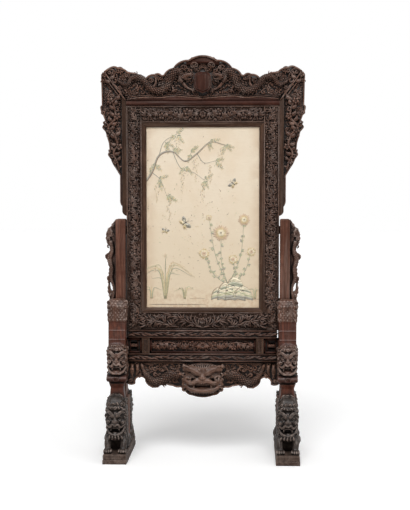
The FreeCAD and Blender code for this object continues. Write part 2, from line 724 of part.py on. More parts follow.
def apron_mask():
    """A broad lion mask in the middle of the apron."""
    piece = new_piece("apron_mask")
    half, height, rise = size.mask_width / 2, size.mask_height, size.mask_rise
    front_pad(piece, "face", ZERO, rise, both_sides(scaled(MASK_SHARES, half, height)))
    front_pocket(piece, "mouth", -rise, rise / 2, both_sides(scaled(MASK_MOUTH_SHARES, half, height)))
    front_pad(piece, "muzzle", -rise, size.mask_feature_rise,
              both_sides(scaled(MASK_MUZZLE_SHARES, half, height)))
    across, up = MASK_EYE_SHARES
    eye = lens(half * across, height * up, size.mask_eye, ZERO, EYE_BOW)
    brows = lenses((MASK_BROW_SHARES,), half, height) + [eye]
    twin_feature(piece, front_pad(piece, "brow", -rise, size.mask_feature_rise / 2, *brows))
    place(piece, ZERO, RAIL_MIDDLE - size.apron_thickness / 2, size.lower_rail_base - height)


def crest_tenon_outline(slack):
    """A crest tenon in plan, with room round it."""
    half_wide = size.crest_tenon_width / 2 + slack
    half_thick = size.crest_tenon_thickness / 2 + slack
    return rectangle(CREST_TENON_MIDDLE - half_wide, -half_thick, CREST_TENON_MIDDLE + half_wide, half_thick)




def frame_rail(label, width, base):
    """A top or bottom member of the frame, with a sunk field between its beads and a tenon each end."""
    piece = new_piece(label)
    front_pad(piece, "bar", FRAME_FRONT, size.frame_thickness,
              rectangle(-OPENING_SIDE, ZERO, OPENING_SIDE, width))
    reach = OPENING_SIDE + size.frame_tenon_length
    front_pad(piece, "tenons", size.frame_tenon_thickness / 2, size.frame_tenon_thickness,
              rectangle(-reach, size.frame_tenon_shoulder, reach, width - size.frame_tenon_shoulder))
    past = OPENING_SIDE + size.overrun
    front_pocket(piece, "field", -FRAME_FRONT, size.frame_field_depth,
                 rectangle(-past, size.frame_bead, past, width - size.frame_bead))
    place(piece, ZERO, ZERO, base)
    return piece


def frame_top_rail():
    """The top member, mortised above for the crest's tenons."""
    piece = frame_rail("frame_top_rail", size.frame_top_width, OPENING_TOP)
    mortise = plan_pocket(piece, "mortise", size.frame_top_width, CREST_TENON_SINKING + SLACK,
                          crest_tenon_outline(SLACK))
    twin_feature(piece, mortise)


def nail_outlines(places_x, bases, slack):
    """Squares where the battens are nailed, seen from the front."""
    half = size.nail_shank / 2 + slack
    middle = size.batten_width / 2
    return [rectangle(x - half, base + middle + step - half, x + half, base + middle + step + half)
            for x in places_x for base in bases for step in (size.nail_spacing / -2, size.nail_spacing / 2)]


NAIL_PLACE = OPENING_SIDE + size.batten_overlap / 2


def frame_stile():
    """An upright of the frame, mortised for the rails and for the lugs, and bored for the nails."""
    piece = new_piece("frame_right_stile")
    width, height, bead = size.frame_stile_width, size.frame_height, size.frame_bead
    top_band, bottom_band = size.frame_top_width, size.frame_bottom_width
    past = -size.overrun
    front_pad(piece, "bar", FRAME_FRONT, size.frame_thickness, rectangle(ZERO, ZERO, width, height))
    field = [(past, bead), (width - bead, bead), (width - bead, height - bead), (past, height - bead),
             (past, height - top_band + bead), (bead, height - top_band + bead),
             (bead, bottom_band - bead), (past, bottom_band - bead)]
    front_pocket(piece, "field", -FRAME_FRONT, size.frame_field_depth, field)
    half_tenon = size.frame_tenon_thickness / 2 + SLACK
    depth = size.frame_tenon_length + SLACK
    shoulder = size.frame_tenon_shoulder - SLACK
    side_pocket(piece, "rail_mortises", depth, depth + size.overrun,
                rectangle(-half_tenon, shoulder, half_tenon, bottom_band - shoulder),
                rectangle(-half_tenon, height - top_band + shoulder, half_tenon, height - shoulder))
    lugs = [lug_tenon_outline(lug_height, SLACK) for lug_height in LUG_HEIGHTS.values()]
    side_pocket(piece, "lug_mortises", width + size.overrun, size.lug_tenon + SLACK + size.overrun, *lugs)
    bore = size.nail_length - size.batten_thickness + SLACK
    bores = nail_outlines([NAIL_PLACE - OPENING_SIDE], [base - SCREEN_BASE for base in BATTEN_BASES], SLACK)
    front_pocket(piece, "nail_bores", FRAME_FRONT - bore, bore + size.overrun, *bores)
    place(piece, OPENING_SIDE, ZERO, SCREEN_BASE)
    return piece


def lug_tenon_outline(lug_height, slack):
    """A lug's tenon in side view, with room round it."""
    half_thick = size.lug_tenon_thickness / 2 + slack
    low = lug_height + size.lug_shoulder - slack
    high = lug_height + size.lug_height - size.lug_shoulder + slack
    return rectangle(-half_thick, low, half_thick, high)


def lug(label, lug_height):
    """A tongue on the frame's edge that keeps the screen in the grooves of the posts."""
    piece = new_piece(label)
    half_thick = size.groove_width / 2 - size.lug_play
    side_pad(piece, "tongue", ZERO, size.frame_side_gap + size.groove_depth - SLACK,
             rectangle(-half_thick, ZERO, half_thick, size.lug_height))
    side_pad(piece, "tenon", -size.lug_tenon, size.lug_tenon, lug_tenon_outline(ZERO, ZERO))
    place(piece, FRAME_SIDE, ZERO, SCREEN_BASE + lug_height)
    return piece


def slip_section(edge, inward):
    """The section of a slip, sloping from a flat at its outer edge to a thin lip at the silk."""
    inner = edge + size.slip_width * inward
    step = edge + size.slip_flat * inward
    return [(edge, SLIP_FRONT), (step, SLIP_FRONT), (inner, SILK_FRONT - size.slip_lip),
            (inner, SILK_FRONT), (edge, SILK_FRONT)]


def cut_mitres(piece, *corners):
    """Cut the slanting ends of a slip."""
    front_pocket(piece, "mitres", SLIP_FRONT - size.overrun, size.slip_thickness + 2 * size.overrun, *corners)


def side_slip():
    """The upright slip moulding, mitred at both ends."""
    piece = new_piece("right_slip")
    plan_pad(piece, "bar", ZERO, OPENING_HEIGHT, slip_section(OPENING_SIDE, -1))
    outer = OPENING_SIDE + size.overrun
    inner = OPENING_SIDE - size.slip_width - size.overrun
    low = [(outer, -size.overrun), (inner, size.slip_width + size.overrun), (inner, -size.overrun)]
    cut_mitres(piece, low, [(x, OPENING_HEIGHT - z) for x, z in low])
    place(piece, ZERO, ZERO, OPENING_BASE)
    return piece


def level_slip(label, edge, inward):
    """The top or bottom slip moulding, mitred to the uprights."""
    piece = new_piece(label)
    side_pad(piece, "bar", -OPENING_SIDE, 2 * OPENING_SIDE, [(y, z) for z, y in slip_section(ZERO, inward)])
    outer = OPENING_SIDE + size.overrun
    inner_z = (size.slip_width + size.overrun) * inward
    right = [(outer, size.overrun * -inward), (outer, inner_z),
             (OPENING_SIDE - size.slip_width - size.overrun, inner_z)]
    cut_mitres(piece, right, [(-x, z) for x, z in right])
    place(piece, ZERO, ZERO, edge)


def opening_sheet(label, name, front, thickness):
    """A flat piece that fills the frame's opening."""
    piece = new_piece(label)
    front_pad(piece, name, front + thickness, thickness,
              rectangle(-OPENING_SIDE, ZERO, OPENING_SIDE, OPENING_HEIGHT))
    place(piece, ZERO, ZERO, OPENING_BASE)


def back_planks():
    """Upright planks that fill the back of the opening, flush with the frame."""
    width = 2 * OPENING_SIDE / COUNTS["plank_count"]
    for i in range(COUNTS["plank_count"]):
        piece = new_piece(f"back_plank_{i + 1}")
        front_pad(piece, "board", FRAME_FRONT, FRAME_FRONT - PLANK_FRONT,
                  rectangle(ZERO, ZERO, width, OPENING_HEIGHT))
        place(piece, width * i - OPENING_SIDE, ZERO, OPENING_BASE)


def batten(label, base):
    """A cross batten that holds the planks in the frame, bored for its nails."""
    piece = new_piece(label)
    half = OPENING_SIDE + size.batten_overlap
    front_pad(piece, "bar", BATTEN_REAR, size.batten_thickness,
              rectangle(-half, ZERO, half, size.batten_width))
    bevel_edges(piece, size.batten_bevel, "y", BATTEN_REAR)
    bores = nail_outlines([-NAIL_PLACE, NAIL_PLACE], [ZERO], SLACK)
    front_pocket(piece, "nail_bores", FRAME_FRONT - size.overrun,
                 size.batten_thickness + 2 * size.overrun, *bores)
    place(piece, ZERO, ZERO, base)


def block(name, x, y, z, width, depth, height):
    """A plain box, given by its lowest corner and its sides."""
    box = doc.addObject("Part::Box", name)
    for side, length in (("Length", width), ("Width", depth), ("Height", height)):
        box.setExpression(side, length.text)
    place(box, x, y, z)
    return box


def group_of(label, members):
    """Like fasteners kept as one sub-part of separate solids."""
    group = doc.addObject("Part::Compound", label)
    group.Label = label
    group.Links = members
    PIECES.append(group)


def batten_nails():
    """Square wrought nails, through the battens into the stiles."""
    nails = []
    shanks = nail_outlines([-NAIL_PLACE, NAIL_PLACE], BATTEN_BASES, ZERO)
    brim = (size.nail_head - size.nail_shank) / 2
    for (left, bottom), _, _, _ in shanks:
        nail = doc.addObject("Part::Fuse", "nail")
        nail.Base = block("nail_shank", left, BATTEN_REAR - size.nail_length, bottom,
                          size.nail_shank, size.nail_length, size.nail_shank)
        nail.Tool = block("nail_head", left - brim, BATTEN_REAR, bottom - brim,
                          size.nail_head, size.nail_head_rise, size.nail_head)
        nails.append(nail)
    group_of("batten_nails", nails)


def crest_moulding():
    """The plain strip between the frame and the crest, with a rounded nose."""
    piece = new_piece("crest_moulding")
    front, rear = size.moulding_depth / -2, size.moulding_depth / 2
    nose = front + size.moulding_nose
    section = [(nose, ZERO), (rear, ZERO), (rear, size.moulding_height), (nose, size.moulding_height, 0.3)]
    side_pad(piece, "bar", -FRAME_SIDE, size.frame_width, section)
    mortise = plan_pocket(piece, "mortise", size.moulding_height + size.overrun,
                          size.moulding_height + 2 * size.overrun, crest_tenon_outline(SLACK))
    twin_feature(piece, mortise)
    place(piece, ZERO, ZERO, SCREEN_TOP)


# Shares of the crest's half width and rise, from the top of its mitre along its skyline to the centre
CREST_SKYLINE_SHARES = (
    (0.90, 0.755, 0.14), (0.83, 0.735, 0.12), (0.73, 0.63, 0.14), (0.572, 0.465, 0.16), (0.475, 0.59, 0.2),
    (0.40, 0.565, 0), (0.385, 0.575, 0.12), (0.29, 0.725, 0.14), (0.14, 0.90, 0.078), (0.0, 1.0, 0),
)

# Places, reaches and bows of the crest's hollows on one side, in the same shares
CREST_HOLLOW_SHARES = (
    (0.145, 0.74, 0.030, 0.07, 0.1), (0.22, 0.60, 0.020, 0.08, 0.1), (0.29, 0.50, 0.025, 0.07, 0.1),
    (0.36, 0.26, 0.045, 0.05, 0.1), (0.47, 0.40, 0.030, 0.08, 0.1), (0.66, 0.34, 0.060, 0.06, 0.1),
    (0.79, 0.50, 0.045, 0.06, 0.1),
)


def crest():
    """The crest in one board: a central arch, cloud lobes and ends mitred to the wings."""
    piece = new_piece("crest")
    depth = size.crest_thickness
    foot = [(ZERO, ZERO, 0), (FRAME_SIDE, ZERO, 0), (MITRE_TOP, size.crest_mitre_rise, 0.05)]
    front_pad(piece, "board", depth / 2, depth,
              both_sides(foot + scaled(CREST_SKYLINE_SHARES, CREST_HALF, size.crest_rise)))
    hollows = lenses(CREST_HOLLOW_SHARES, CREST_HALF, size.crest_rise)
    twin_feature(piece, front_pocket(piece, "hollows", depth / -2, size.crest_hollow_depth, *hollows))
    sinking = CREST_TENON_SINKING + SLACK
    mortise = crest_tenon_outline(SLACK)
    twin_feature(piece, plan_pocket(piece, "mortise", sinking, sinking + size.overrun, mortise))
    place(piece, ZERO, ZERO, CREST_BASE)


def crest_tenons():
    """Loose tenons through the moulding, into the frame below and the crest above."""
    left = size.crest_tenon_width / -2 - CREST_TENON_MIDDLE
    base = SCREEN_TOP - CREST_TENON_SINKING
    group_of("crest_tenons", [
        block("crest_tenon", x, size.crest_tenon_thickness / -2, base,
              size.crest_tenon_width, size.crest_tenon_thickness, size.crest_tenon_length)
        for x in (left, left + 2 * CREST_TENON_MIDDLE)
    ])


# Shares of half the shield's width and of its height, from the centre of its foot
SHIELD_SHARES = ((0.0, 0.0, 0), (0.62, 0.12, 0.14), (1.0, 0.45, 0), (0.95, 0.86, 0.15), (0.0, 1.0, 0))
SHIELD_STEP_SHARE = 0.8


def crest_shield():
    """The plain shield in the middle of the crest, in two steps."""
    piece = new_piece("crest_shield")
    half, height = size.shield_width / 2, size.shield_height
    front_pad(piece, "plate", ZERO, size.shield_rise, both_sides(scaled(SHIELD_SHARES, half, height)))
    raised = scaled(SHIELD_SHARES, half * SHIELD_STEP_SHARE, height * SHIELD_STEP_SHARE)
    lift = height * (1 - SHIELD_STEP_SHARE) / 2
    front_pad(piece, "step", -size.shield_rise, size.shield_step,
              both_sides([(x, z + lift, bow) for x, z, bow in raised]))
    place(piece, ZERO, size.crest_thickness / -2, CREST_BASE + size.shield_base)


# Shares of the wing's reach beyond its strip and of its drop, up the outer edge from its foot
WING_OUTER_SHARES = (
    (0.0, -1.0, 0.1), (0.107, -0.93, 0), (0.107, -0.69, 0), (0.34, -0.61, 0.05),
    (0.54, -0.53, 0), (0.68, -0.49, 0.2), (0.60, -0.45, 0), (0.64, -0.37, 0), (0.80, -0.256, 0),
    (0.96, -0.216, 0.25), (0.75, -0.176, 0), (0.91, -0.096, 0.06), (1.05, -0.02, 0.2), (0.97, 0.01, 0),
)

# Places and reaches of the wing's hollows, in the same shares, and the height of its outer shoulder
WING_HOLLOW_SHARES = (
    (0.34, -0.08, 0.18, 0.03, 0.12), (0.40, -0.22, 0.20, 0.03, 0.12), (0.32, -0.36, 0.18, 0.04, 0.12),
    (0.28, -0.50, 0.14, 0.03, 0.12), (0.80, 0.14, 0.05, 0.05, 0.12),
)
WING_SHOULDER_SHARE = 0.74


def mitre_height(across):
    """How high above the crest's foot the mitre lies, at a distance out from the frame's side."""
    return size.crest_mitre_rise * (across.value / (MITRE_TOP - FRAME_SIDE).value)


def wing():
    """A carved wing beside the frame, which runs up past the crest's foot to the mitre."""
    piece = new_piece("right_wing")
    depth = size.wing_thickness
    reach = size.wing_reach - size.strip_width
    drop = SCREEN_TOP - STRIP_FOOT - size.wing_foot_rise
    foot = size.moulding_height
    top = [(reach, foot + size.crest_mitre_rise * WING_SHOULDER_SHARE, 0.12),
           (reach - size.crest_mitre_inset, foot + size.crest_mitre_rise, 0),
           (ZERO, foot + mitre_height(size.strip_width), 0)]
    front_pad(piece, "board", depth / 2, depth, scaled(WING_OUTER_SHARES, reach, drop) + top)
    front_pocket(piece, "hollows", depth / -2, size.wing_hollow_depth,
                 *lenses(WING_HOLLOW_SHARES, reach, drop))
    place(piece, FRAME_SIDE + size.strip_width, ZERO, SCREEN_TOP)
    return piece


def wing_strip():
    """The plain upright strip between the frame and a wing, rounded off at its foot."""
    piece = new_piece("right_wing_strip")
    width, depth = size.strip_width, size.strip_depth
    foot = STRIP_FOOT - SCREEN_TOP
    top = size.moulding_height
    front_pad(piece, "bar", depth / 2, depth,
              [(ZERO, foot, STRIP_FOOT_BOW), (width, foot + width, 0), (width, top + mitre_height(width), 0),
               (ZERO, top, 0)])
    place(piece, FRAME_SIDE, ZERO, SCREEN_TOP)
    return piece


def build_stand():
    """All the pieces of the stand."""
    left_twin(foot_plinth())
    left_twin(post())
    for front_piece in (guardian_lion(), standing_spandrel()):
        left_twin(front_piece)
        left_twin(rear_twin(front_piece))
    left_twin(side_dragon())
    rail("lower_rail", size.lower_rail_base)
    rail("upper_rail", UPPER_RAIL_BASE)
    left_twin(panel_stile())
    carved_panel("centre_panel", 2 * STILE_CENTRE - size.panel_stile_width, ZERO, "scroll_count", 0.42, 0.12)
    left_twin(carved_panel("right_end_panel", size.end_panel_width, POST_FACE - size.end_panel_width / 2,
                           "fret_count", 0.0, 0.1))
    apron()
    apron_mask()


def build_screen():
    """All the pieces of the framed screen."""
    frame_top_rail()
    frame_rail("frame_bottom_rail", size.frame_bottom_width, SCREEN_BASE)
    left_twin(frame_stile())
    left_twin(side_slip())
    level_slip("bottom_slip", OPENING_BASE, 1)
    level_slip("top_slip", OPENING_TOP, -1)
    opening_sheet("silk_panel", "cloth", SILK_FRONT, size.silk_thickness)
    opening_sheet("silk_board", "board", BOARD_FRONT, size.silk_board_thickness)
    back_planks()
    batten("lower_batten", BATTEN_BASES[0])
    batten("upper_batten", BATTEN_BASES[1])
    batten_nails()
    crest_moulding()
    crest()
    crest_shield()
    crest_tenons()
    left_twin(wing())
    left_twin(wing_strip())
    for name, lug_height in LUG_HEIGHTS.items():
        left_twin(lug(f"right_{name}_lug", lug_height))


def check_document():
    """Stop if anything failed to build or a cut took nothing away."""
    for item in doc.Objects:
        if {"Invalid", "Error"} & set(item.State):
            raise RuntimeError(f"{item.Label} failed to build")
        if item.TypeId == "PartDesign::Pocket" and item.Shape.Volume >= item.BaseFeature.Shape.Volume:
            raise RuntimeError(f"{item.Label} cut nothing")
    for piece in PIECES:
        if piece.Shape.isNull() or not piece.Shape.isValid():
            raise RuntimeError(f"{piece.Label} has no valid shape")


def write_parts():
    """Write one file for each sub-part."""
    os.makedirs("parts", exist_ok=True)
    for piece in PIECES:
        piece.Shape.exportStep(os.path.join("parts", f"{piece.Label}.step"))


build_stand()
build_screen()
doc.recompute()
check_document()
write_parts()
print(len(PIECES), "sub-parts written")
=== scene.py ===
import json
import math

import bpy
import numpy as np
from bpy.props import FloatProperty, FloatVectorProperty, PointerProperty
from mathutils import Matrix, Vector
from mathutils.bvhtree import BVHTree

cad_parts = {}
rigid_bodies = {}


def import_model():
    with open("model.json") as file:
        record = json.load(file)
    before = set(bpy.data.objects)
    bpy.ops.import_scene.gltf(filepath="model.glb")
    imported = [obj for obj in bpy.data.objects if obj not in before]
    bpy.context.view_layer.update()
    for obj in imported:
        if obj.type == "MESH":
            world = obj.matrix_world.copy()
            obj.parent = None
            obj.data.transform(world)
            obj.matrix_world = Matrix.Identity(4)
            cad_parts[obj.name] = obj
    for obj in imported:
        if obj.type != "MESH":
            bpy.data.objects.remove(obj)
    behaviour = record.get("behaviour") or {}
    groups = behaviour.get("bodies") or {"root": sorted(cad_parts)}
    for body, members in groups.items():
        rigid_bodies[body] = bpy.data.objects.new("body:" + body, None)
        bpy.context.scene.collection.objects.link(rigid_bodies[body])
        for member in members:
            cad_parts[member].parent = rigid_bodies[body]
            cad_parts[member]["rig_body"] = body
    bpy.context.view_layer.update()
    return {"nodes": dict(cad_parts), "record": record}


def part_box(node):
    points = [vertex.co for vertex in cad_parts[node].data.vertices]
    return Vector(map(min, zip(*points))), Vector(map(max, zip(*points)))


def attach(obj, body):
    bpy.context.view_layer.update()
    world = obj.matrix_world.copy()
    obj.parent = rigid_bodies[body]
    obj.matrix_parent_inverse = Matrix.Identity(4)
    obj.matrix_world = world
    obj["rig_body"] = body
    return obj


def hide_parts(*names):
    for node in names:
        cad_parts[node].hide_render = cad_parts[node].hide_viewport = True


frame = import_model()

bl_info = {
    "name": "Carved Floor Screen",
    "version": (1, 0, 0),
    "blender": (4, 5, 0),
    "location": "3D View > Sidebar > Screen",
    "description": "Carves, finishes and lights a floor screen of hardwood and silk",
    "category": "Object",
}

MM = 0.001
FRONT = np.array((0.0, -1.0, 0.0))
UP = np.array((0.0, 0.0, 1.0))
TURN = 2 * math.pi
# Kinds of face: the piece's own finish, the ground behind carving, painted dark as shade with grime, and
# plain wood.
OWN, GROUND, PLAIN = range(3)
# Where a block and a slab keep their front face, counted back from the last of their faces.
GROUND_OF_BLOCK = -6
GROUND_OF_SLAB = -2
# How thick a sturdy curl is, as a share of its size.
STOUT = 0.36


def mm(*values):
    """Lengths in millimetres, as metres."""
    return MM * np.array(values)


def display(red, green, blue):
    """A colour as a display shows it, from 0 to 255, turned into the linear one that shaders use."""
    shares = (channel / 255 for channel in (red, green, blue))
    return tuple(((share + 0.055) / 1.055) ** 2.4 if share > 0.04045 else share / 12.92 for share in shares)


def colour(name, description, red, green, blue):
    return FloatVectorProperty(name=name, description=description, subtype="COLOR", size=3, min=0, max=1,
                               default=display(red, green, blue))


def length(name, description, metres):
    return FloatProperty(name=name, description=description, unit="LENGTH", default=metres, min=0)


def share_of(name, description, value):
    return FloatProperty(name=name, description=description, subtype="FACTOR", default=value, min=0, max=1)


def strength(name, description, value):
    return FloatProperty(name=name, description=description, default=value, min=0)


class WoodFinish(bpy.types.PropertyGroup):
    """Colours and polish of the hardwood."""

    reddish: colour("Reddish wood", "Plain posts and plates", 114, 76, 62)
    ruddy: colour("Dark reddish wood", "Moulding, shield and ball", 68, 38, 29)
    carved: colour("Stand carving", "Carved rails, panels and brackets", 90, 62, 50)
    apron: colour("Apron carving", "Apron and its mask", 112, 81, 66)
    border: colour("Frame carving", "Carved border of the frame", 98, 73, 61)
    crest: colour("Crest carving", "Deeply carved crest and wings", 106, 75, 61)
    foot: colour("Foot blocks", "Moulded blocks of the feet", 86, 71, 63)
    lion: colour("Lion carving", "Lions of the feet", 45, 36, 31)
    slip: colour("Slip moulding", "Plain moulding round the silk", 84, 61, 48)
    softwood: colour("Back boards", "Unfinished boards and battens at the back", 134, 104, 76)
    # Grime and painted shade: the near-black colour that hollows, corners and the sunk ground are painted
    # towards.
    dirt_and_shade: colour("Old dirt", "What gathers in the hollows", 14, 9, 7)
    # Pale worn tone, also used as a painted highlight on edges and high places.
    worn: colour("Worn edges", "High places rubbed pale and grey", 152, 134, 124)
    iron: colour("Iron", "Wrought nails", 62, 58, 54)
    shine: share_of("Wax shine", "How strongly the wax mirrors", 0.15)
    wax: share_of("Wax roughness", "How dull the waxed wood is", 0.44)


class CarvingSizes(bpy.types.PropertyGroup):
    """Sizes that the carver's motifs share."""

    voxel: length("Sculpting step", "Cell size at which sculpted pieces are merged", 2.4 * MM)
    stem: length("Stem", "Radius of a carved branch", 4.4 * MM)
    leaf: length("Leaf", "Length of a carved leaf", 34 * MM)
    blossom: length("Blossom", "Radius of a carved blossom", 19 * MM)
    scale: length("Dragon scale", "Length of one scale of a dragon", 8.5 * MM)
    arris: length("Softened edge", "Bevel worn on to the plain members' edges", 1.4 * MM)


class SilkWork(bpy.types.PropertyGroup):
    """Cloth and threads of the embroidered panel."""

    silk: colour("Silk", "Ground of the panel", 236, 220, 196)
    stain: colour("Stain", "Age marks on the silk", 196, 164, 130)
    green: colour("Green thread", "Leaves and blades", 198, 194, 156)
    sage: colour("Sage thread", "Shaded leaves", 168, 168, 142)
    ochre: colour("Ochre thread", "Flower hearts and wings", 220, 196, 148)
    cream: colour("Cream thread", "Petals", 240, 226, 194)
    blush: colour("Blush thread", "Shaded petals", 218, 188, 156)
    brown: colour("Brown thread", "Stems and rock", 146, 120, 98)
    grey: colour("Grey thread", "Rock and wings", 168, 162, 146)
    ink: colour("Dark thread", "Small dark accents", 74, 62, 52)
    rise: length("Stitch thickness", "How far the stitches stand off the silk", 0.7 * MM)


class StageSettings(bpy.types.PropertyGroup):
    """Camera and light of the studio."""

    place: FloatVectorProperty(name="Camera place", description="Where the camera stands", unit="LENGTH",
                               size=3, default=(0.235, -5.7815, 1.340))
    yaw: FloatProperty(name="Yaw", description="How far the camera turns to its left", unit="ROTATION",
                       default=math.radians(2.22))
    pitch: FloatProperty(name="Pitch", description="How far the camera looks down", unit="ROTATION",
                         default=math.radians(3.27))
    lens: FloatProperty(name="Lens", description="Focal length on a 36 mm frame", unit="CAMERA", default=81.8)
    key: strength("Key light", "The main light, from above the camera", 1.78)
    side: strength("Side light", "The light from the right", 0.5)
    glint: strength("Glint", "Two small lights that only gleam on the wood", 3.5)
    fill: share_of("Fill", "Strength of the even light all round", 0.42)
    floor: share_of("Floor", "How much of its light the floor gives back", 0.6)
    glow: share_of("Floor glow", "What lifts the floor to white where no shadow falls", 0.175)


class ScreenSettings(bpy.types.PropertyGroup):
    """Everything that the panel shows."""

    wood: PointerProperty(type=WoodFinish)
    carving: PointerProperty(type=CarvingSizes)
    silk: PointerProperty(type=SilkWork)
    stage: PointerProperty(type=StageSettings)


def settings():
    return bpy.context.scene.floor_screen


def spline(knots, steps=6):
    """Points on a smooth line through the knots, with some steps from each to the next."""
    knots = np.asarray(knots, float)
    if len(knots) < 3 or steps < 2:
        return knots
    padded = np.vstack((2 * knots[0] - knots[1], knots, 2 * knots[-1] - knots[-2]))
    share = np.linspace(0, 1, steps, endpoint=False)[:, None]
    spans = [b + ((c - a) * share + (2 * a - 5 * b + 4 * c - d) * share ** 2
                  + (3 * b - a - 3 * c + d) * share ** 3) / 2
             for a, b, c, d in zip(padded, padded[1:], padded[2:], padded[3:])]
    return np.vstack(spans + [knots[-1:]])


def evenly(line, pitch):
    """Points along a line, a pitch apart."""
    runs = np.linalg.norm(np.diff(line, axis=0), axis=1)
    reached = np.concatenate(([0], np.cumsum(runs)))
    places = np.linspace(0, reached[-1], max(2, int(reached[-1] / pitch) + 1))
    return np.column_stack([np.interp(places, reached, line[:, axis]) for axis in range(3)])


def profile(values, count):
    """A list of values read off at a number of places."""
    values = np.atleast_1d(values).astype(float)
    return np.interp(np.linspace(0, 1, count), np.linspace(0, 1, len(values)), values)


def unit(vectors):
    return vectors / np.maximum(np.linalg.norm(vectors, axis=-1, keepdims=True), 1e-12)


def face_axes(out):
    """The level and rising directions in a face that looks along out."""
    across = unit(np.cross(UP, out) + np.array((1e-4, 0, 0)))
    return across, np.cross(out, across)


def heading(angle, out=FRONT):
    """A direction in a carved face, turned from level."""
    across, up = face_axes(out)
    return across * math.cos(angle) + up * math.sin(angle)


class Carving:
    """Closed solids, in metres, that make up one carved piece."""

    def __init__(self):
        self.points = []
        self.faces = []
        self.tones = []
        self.total = 0

    def add(self, points, faces, tone=OWN, ground=None):
        """Add one closed solid, all of one kind of face but for the one that shows the dark ground."""
        points = np.asarray(points, float).reshape(-1, 3)
        self.points.append(points)
        self.faces.extend([tuple(corner + self.total for corner in face) for face in faces])
        self.tones.extend([tone] * len(faces))
        if ground is not None:
            self.tones[ground] = GROUND
        self.total += len(points)

    def clothe(self, places, out, motif):
        """Seat a motif wherever a line that comes in against out, through a place, meets the solids."""
        tree = BVHTree.FromPolygons(np.vstack(self.points).tolist(), self.faces)
        for i, place in enumerate(places):
            spot, normal, _, _ = tree.ray_cast(Vector(place + out), Vector(-out), 2)
            if spot is not None:
                motif(i, np.array(spot), unit(np.array(normal) + out * 0.35))

    def tube_faces(self, rings, sides):
        """Faces of a closed tube of rings."""
        faces = [(i * sides + j, i * sides + (j + 1) % sides,
                  (i + 1) * sides + (j + 1) % sides, (i + 1) * sides + j)
                 for i in range(rings - 1) for j in range(sides)]
        last = (rings - 1) * sides
        return faces + [tuple(range(sides))[::-1], tuple(range(last, last + sides))]

    def sweep(self, knots, wide, deep=None, out=FRONT, sides=8, steps=5, blunt=1.0):
        """A round or flattened rod along a smooth line, wide in the face and deep along out."""
        line = spline(knots, steps)
        wide = profile(wide, len(line))
        deep = wide if deep is None else profile(deep, len(line))
        along = unit(np.gradient(line, axis=0))
        outward = unit(out - (along @ out)[:, None] * along + 1e-6 * UP)
        side = np.cross(along, outward)
        turn = (np.arange(sides) + 0.5) * TURN / sides
        level = np.sign(np.cos(turn)) * abs(np.cos(turn)) ** blunt
        rise = np.sign(np.sin(turn)) * abs(np.sin(turn)) ** blunt
        rings = (line[:, None] + side[:, None] * (wide[:, None] * level)[..., None]
                 + outward[:, None] * (deep[:, None] * rise)[..., None])
        self.add(rings, self.tube_faces(len(line), sides))

    def ball(self, centre, radii, rings=7, sides=10):
        """An egg with its three radii along X, Y and Z."""
        polar = np.linspace(0.12, math.pi - 0.12, rings)[:, None]
        turn = (np.arange(sides) * TURN / sides)[None]
        shape = np.stack((np.sin(polar) * np.cos(turn), np.sin(polar) * np.sin(turn),
                          np.cos(polar) * np.ones_like(turn)), axis=-1)
        self.add(np.asarray(centre) + shape * np.broadcast_to(radii, 3), self.tube_faces(rings, sides))

    def block(self, low, high, tone=OWN, ground=None):
        """A plain box between two corners."""
        corners = [(x, y, z) for z in (low[2], high[2]) for x, y in
                   ((low[0], low[1]), (high[0], low[1]), (high[0], high[1]), (low[0], high[1]))]
        self.add(corners, self.tube_faces(2, 4), tone, ground)

    def slab(self, outline, front, rear, tone=OWN, ground=None):
        """A board sawn to an outline of (x, z) points."""
        rings = [[(x, y, z) for x, z in outline] for y in (front, rear)]
        self.add(rings, self.tube_faces(2, len(outline)), tone, ground)

    def core(self, node, shrink=(1, 1, 1)):
        """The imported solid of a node, drawn in a little for carving to stand on."""
        mesh = frame["nodes"][node].data
        points = np.array([vertex.co for vertex in mesh.vertices])
        middle = (points.min(axis=0) + points.max(axis=0)) / 2
        self.add(middle + (points - middle) * shrink, [tuple(face.vertices) for face in mesh.polygons])

    def mirror(self):
        """Repeat everything so far as its mirror twin, left for right."""
        points = np.vstack(self.points)
        points[:, 0] = -points[:, 0]
        tones = list(self.tones)
        self.add(points, [face[::-1] for face in self.faces])
        self.tones[len(tones):] = tones

    def piece(self, name, node, finish, stands_in=True, merge=None):
        """Make the piece and tie it to its node, whose place it takes where it stands in for it."""
        mesh = bpy.data.meshes.new(name)
        mesh.from_pydata(np.vstack(self.points).tolist(), [], self.faces)
        mesh.polygons.foreach_set("material_index", self.tones)
        made = bpy.data.objects.new(name, mesh)
        bpy.context.scene.collection.objects.link(made)
        if merge:
            remesh = made.modifiers.new("merge", "REMESH")
            remesh.mode = "VOXEL"
            remesh.voxel_size = merge
            remesh.adaptivity = merge / 3
            soften = made.modifiers.new("soften", "SMOOTH")
            soften.factor = 0.5
            soften.iterations = 2
            graph = bpy.context.evaluated_depsgraph_get()
            made.data = bpy.data.meshes.new_from_object(made.evaluated_get(graph))
            made.modifiers.clear()
            made.data.name = name
        else:
            mesh.validate()
        made.data.materials.append(finish)
        if not merge:
            for kind in ("hollow_wood", "moulding_wood")[:max(self.tones)]:
                made.data.materials.append(finish_for(kind))
        return settle(made, node, stands_in)


def settle(made, node, stands_in):
    """Smooth a new piece and ride it where its node rides."""
    made.data.polygons.foreach_set("use_smooth", [True] * len(made.data.polygons))
    if stands_in:
        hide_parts(node)
    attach(made, frame["nodes"][node]["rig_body"])
    slot_of(node)
    return made


def twin(made, name, axis, node, stands_in=True):
    """The mirror twin of a piece, across the plane through the origin."""
    mesh = made.data.copy()
    mesh.name = name
    mesh.transform(Matrix.Scale(-1, 4, Vector([float(letter == axis) for letter in "XYZ"])))
    mesh.flip_normals()
    copy = bpy.data.objects.new(name, mesh)
    bpy.context.scene.collection.objects.link(copy)
    return settle(copy, node, stands_in)


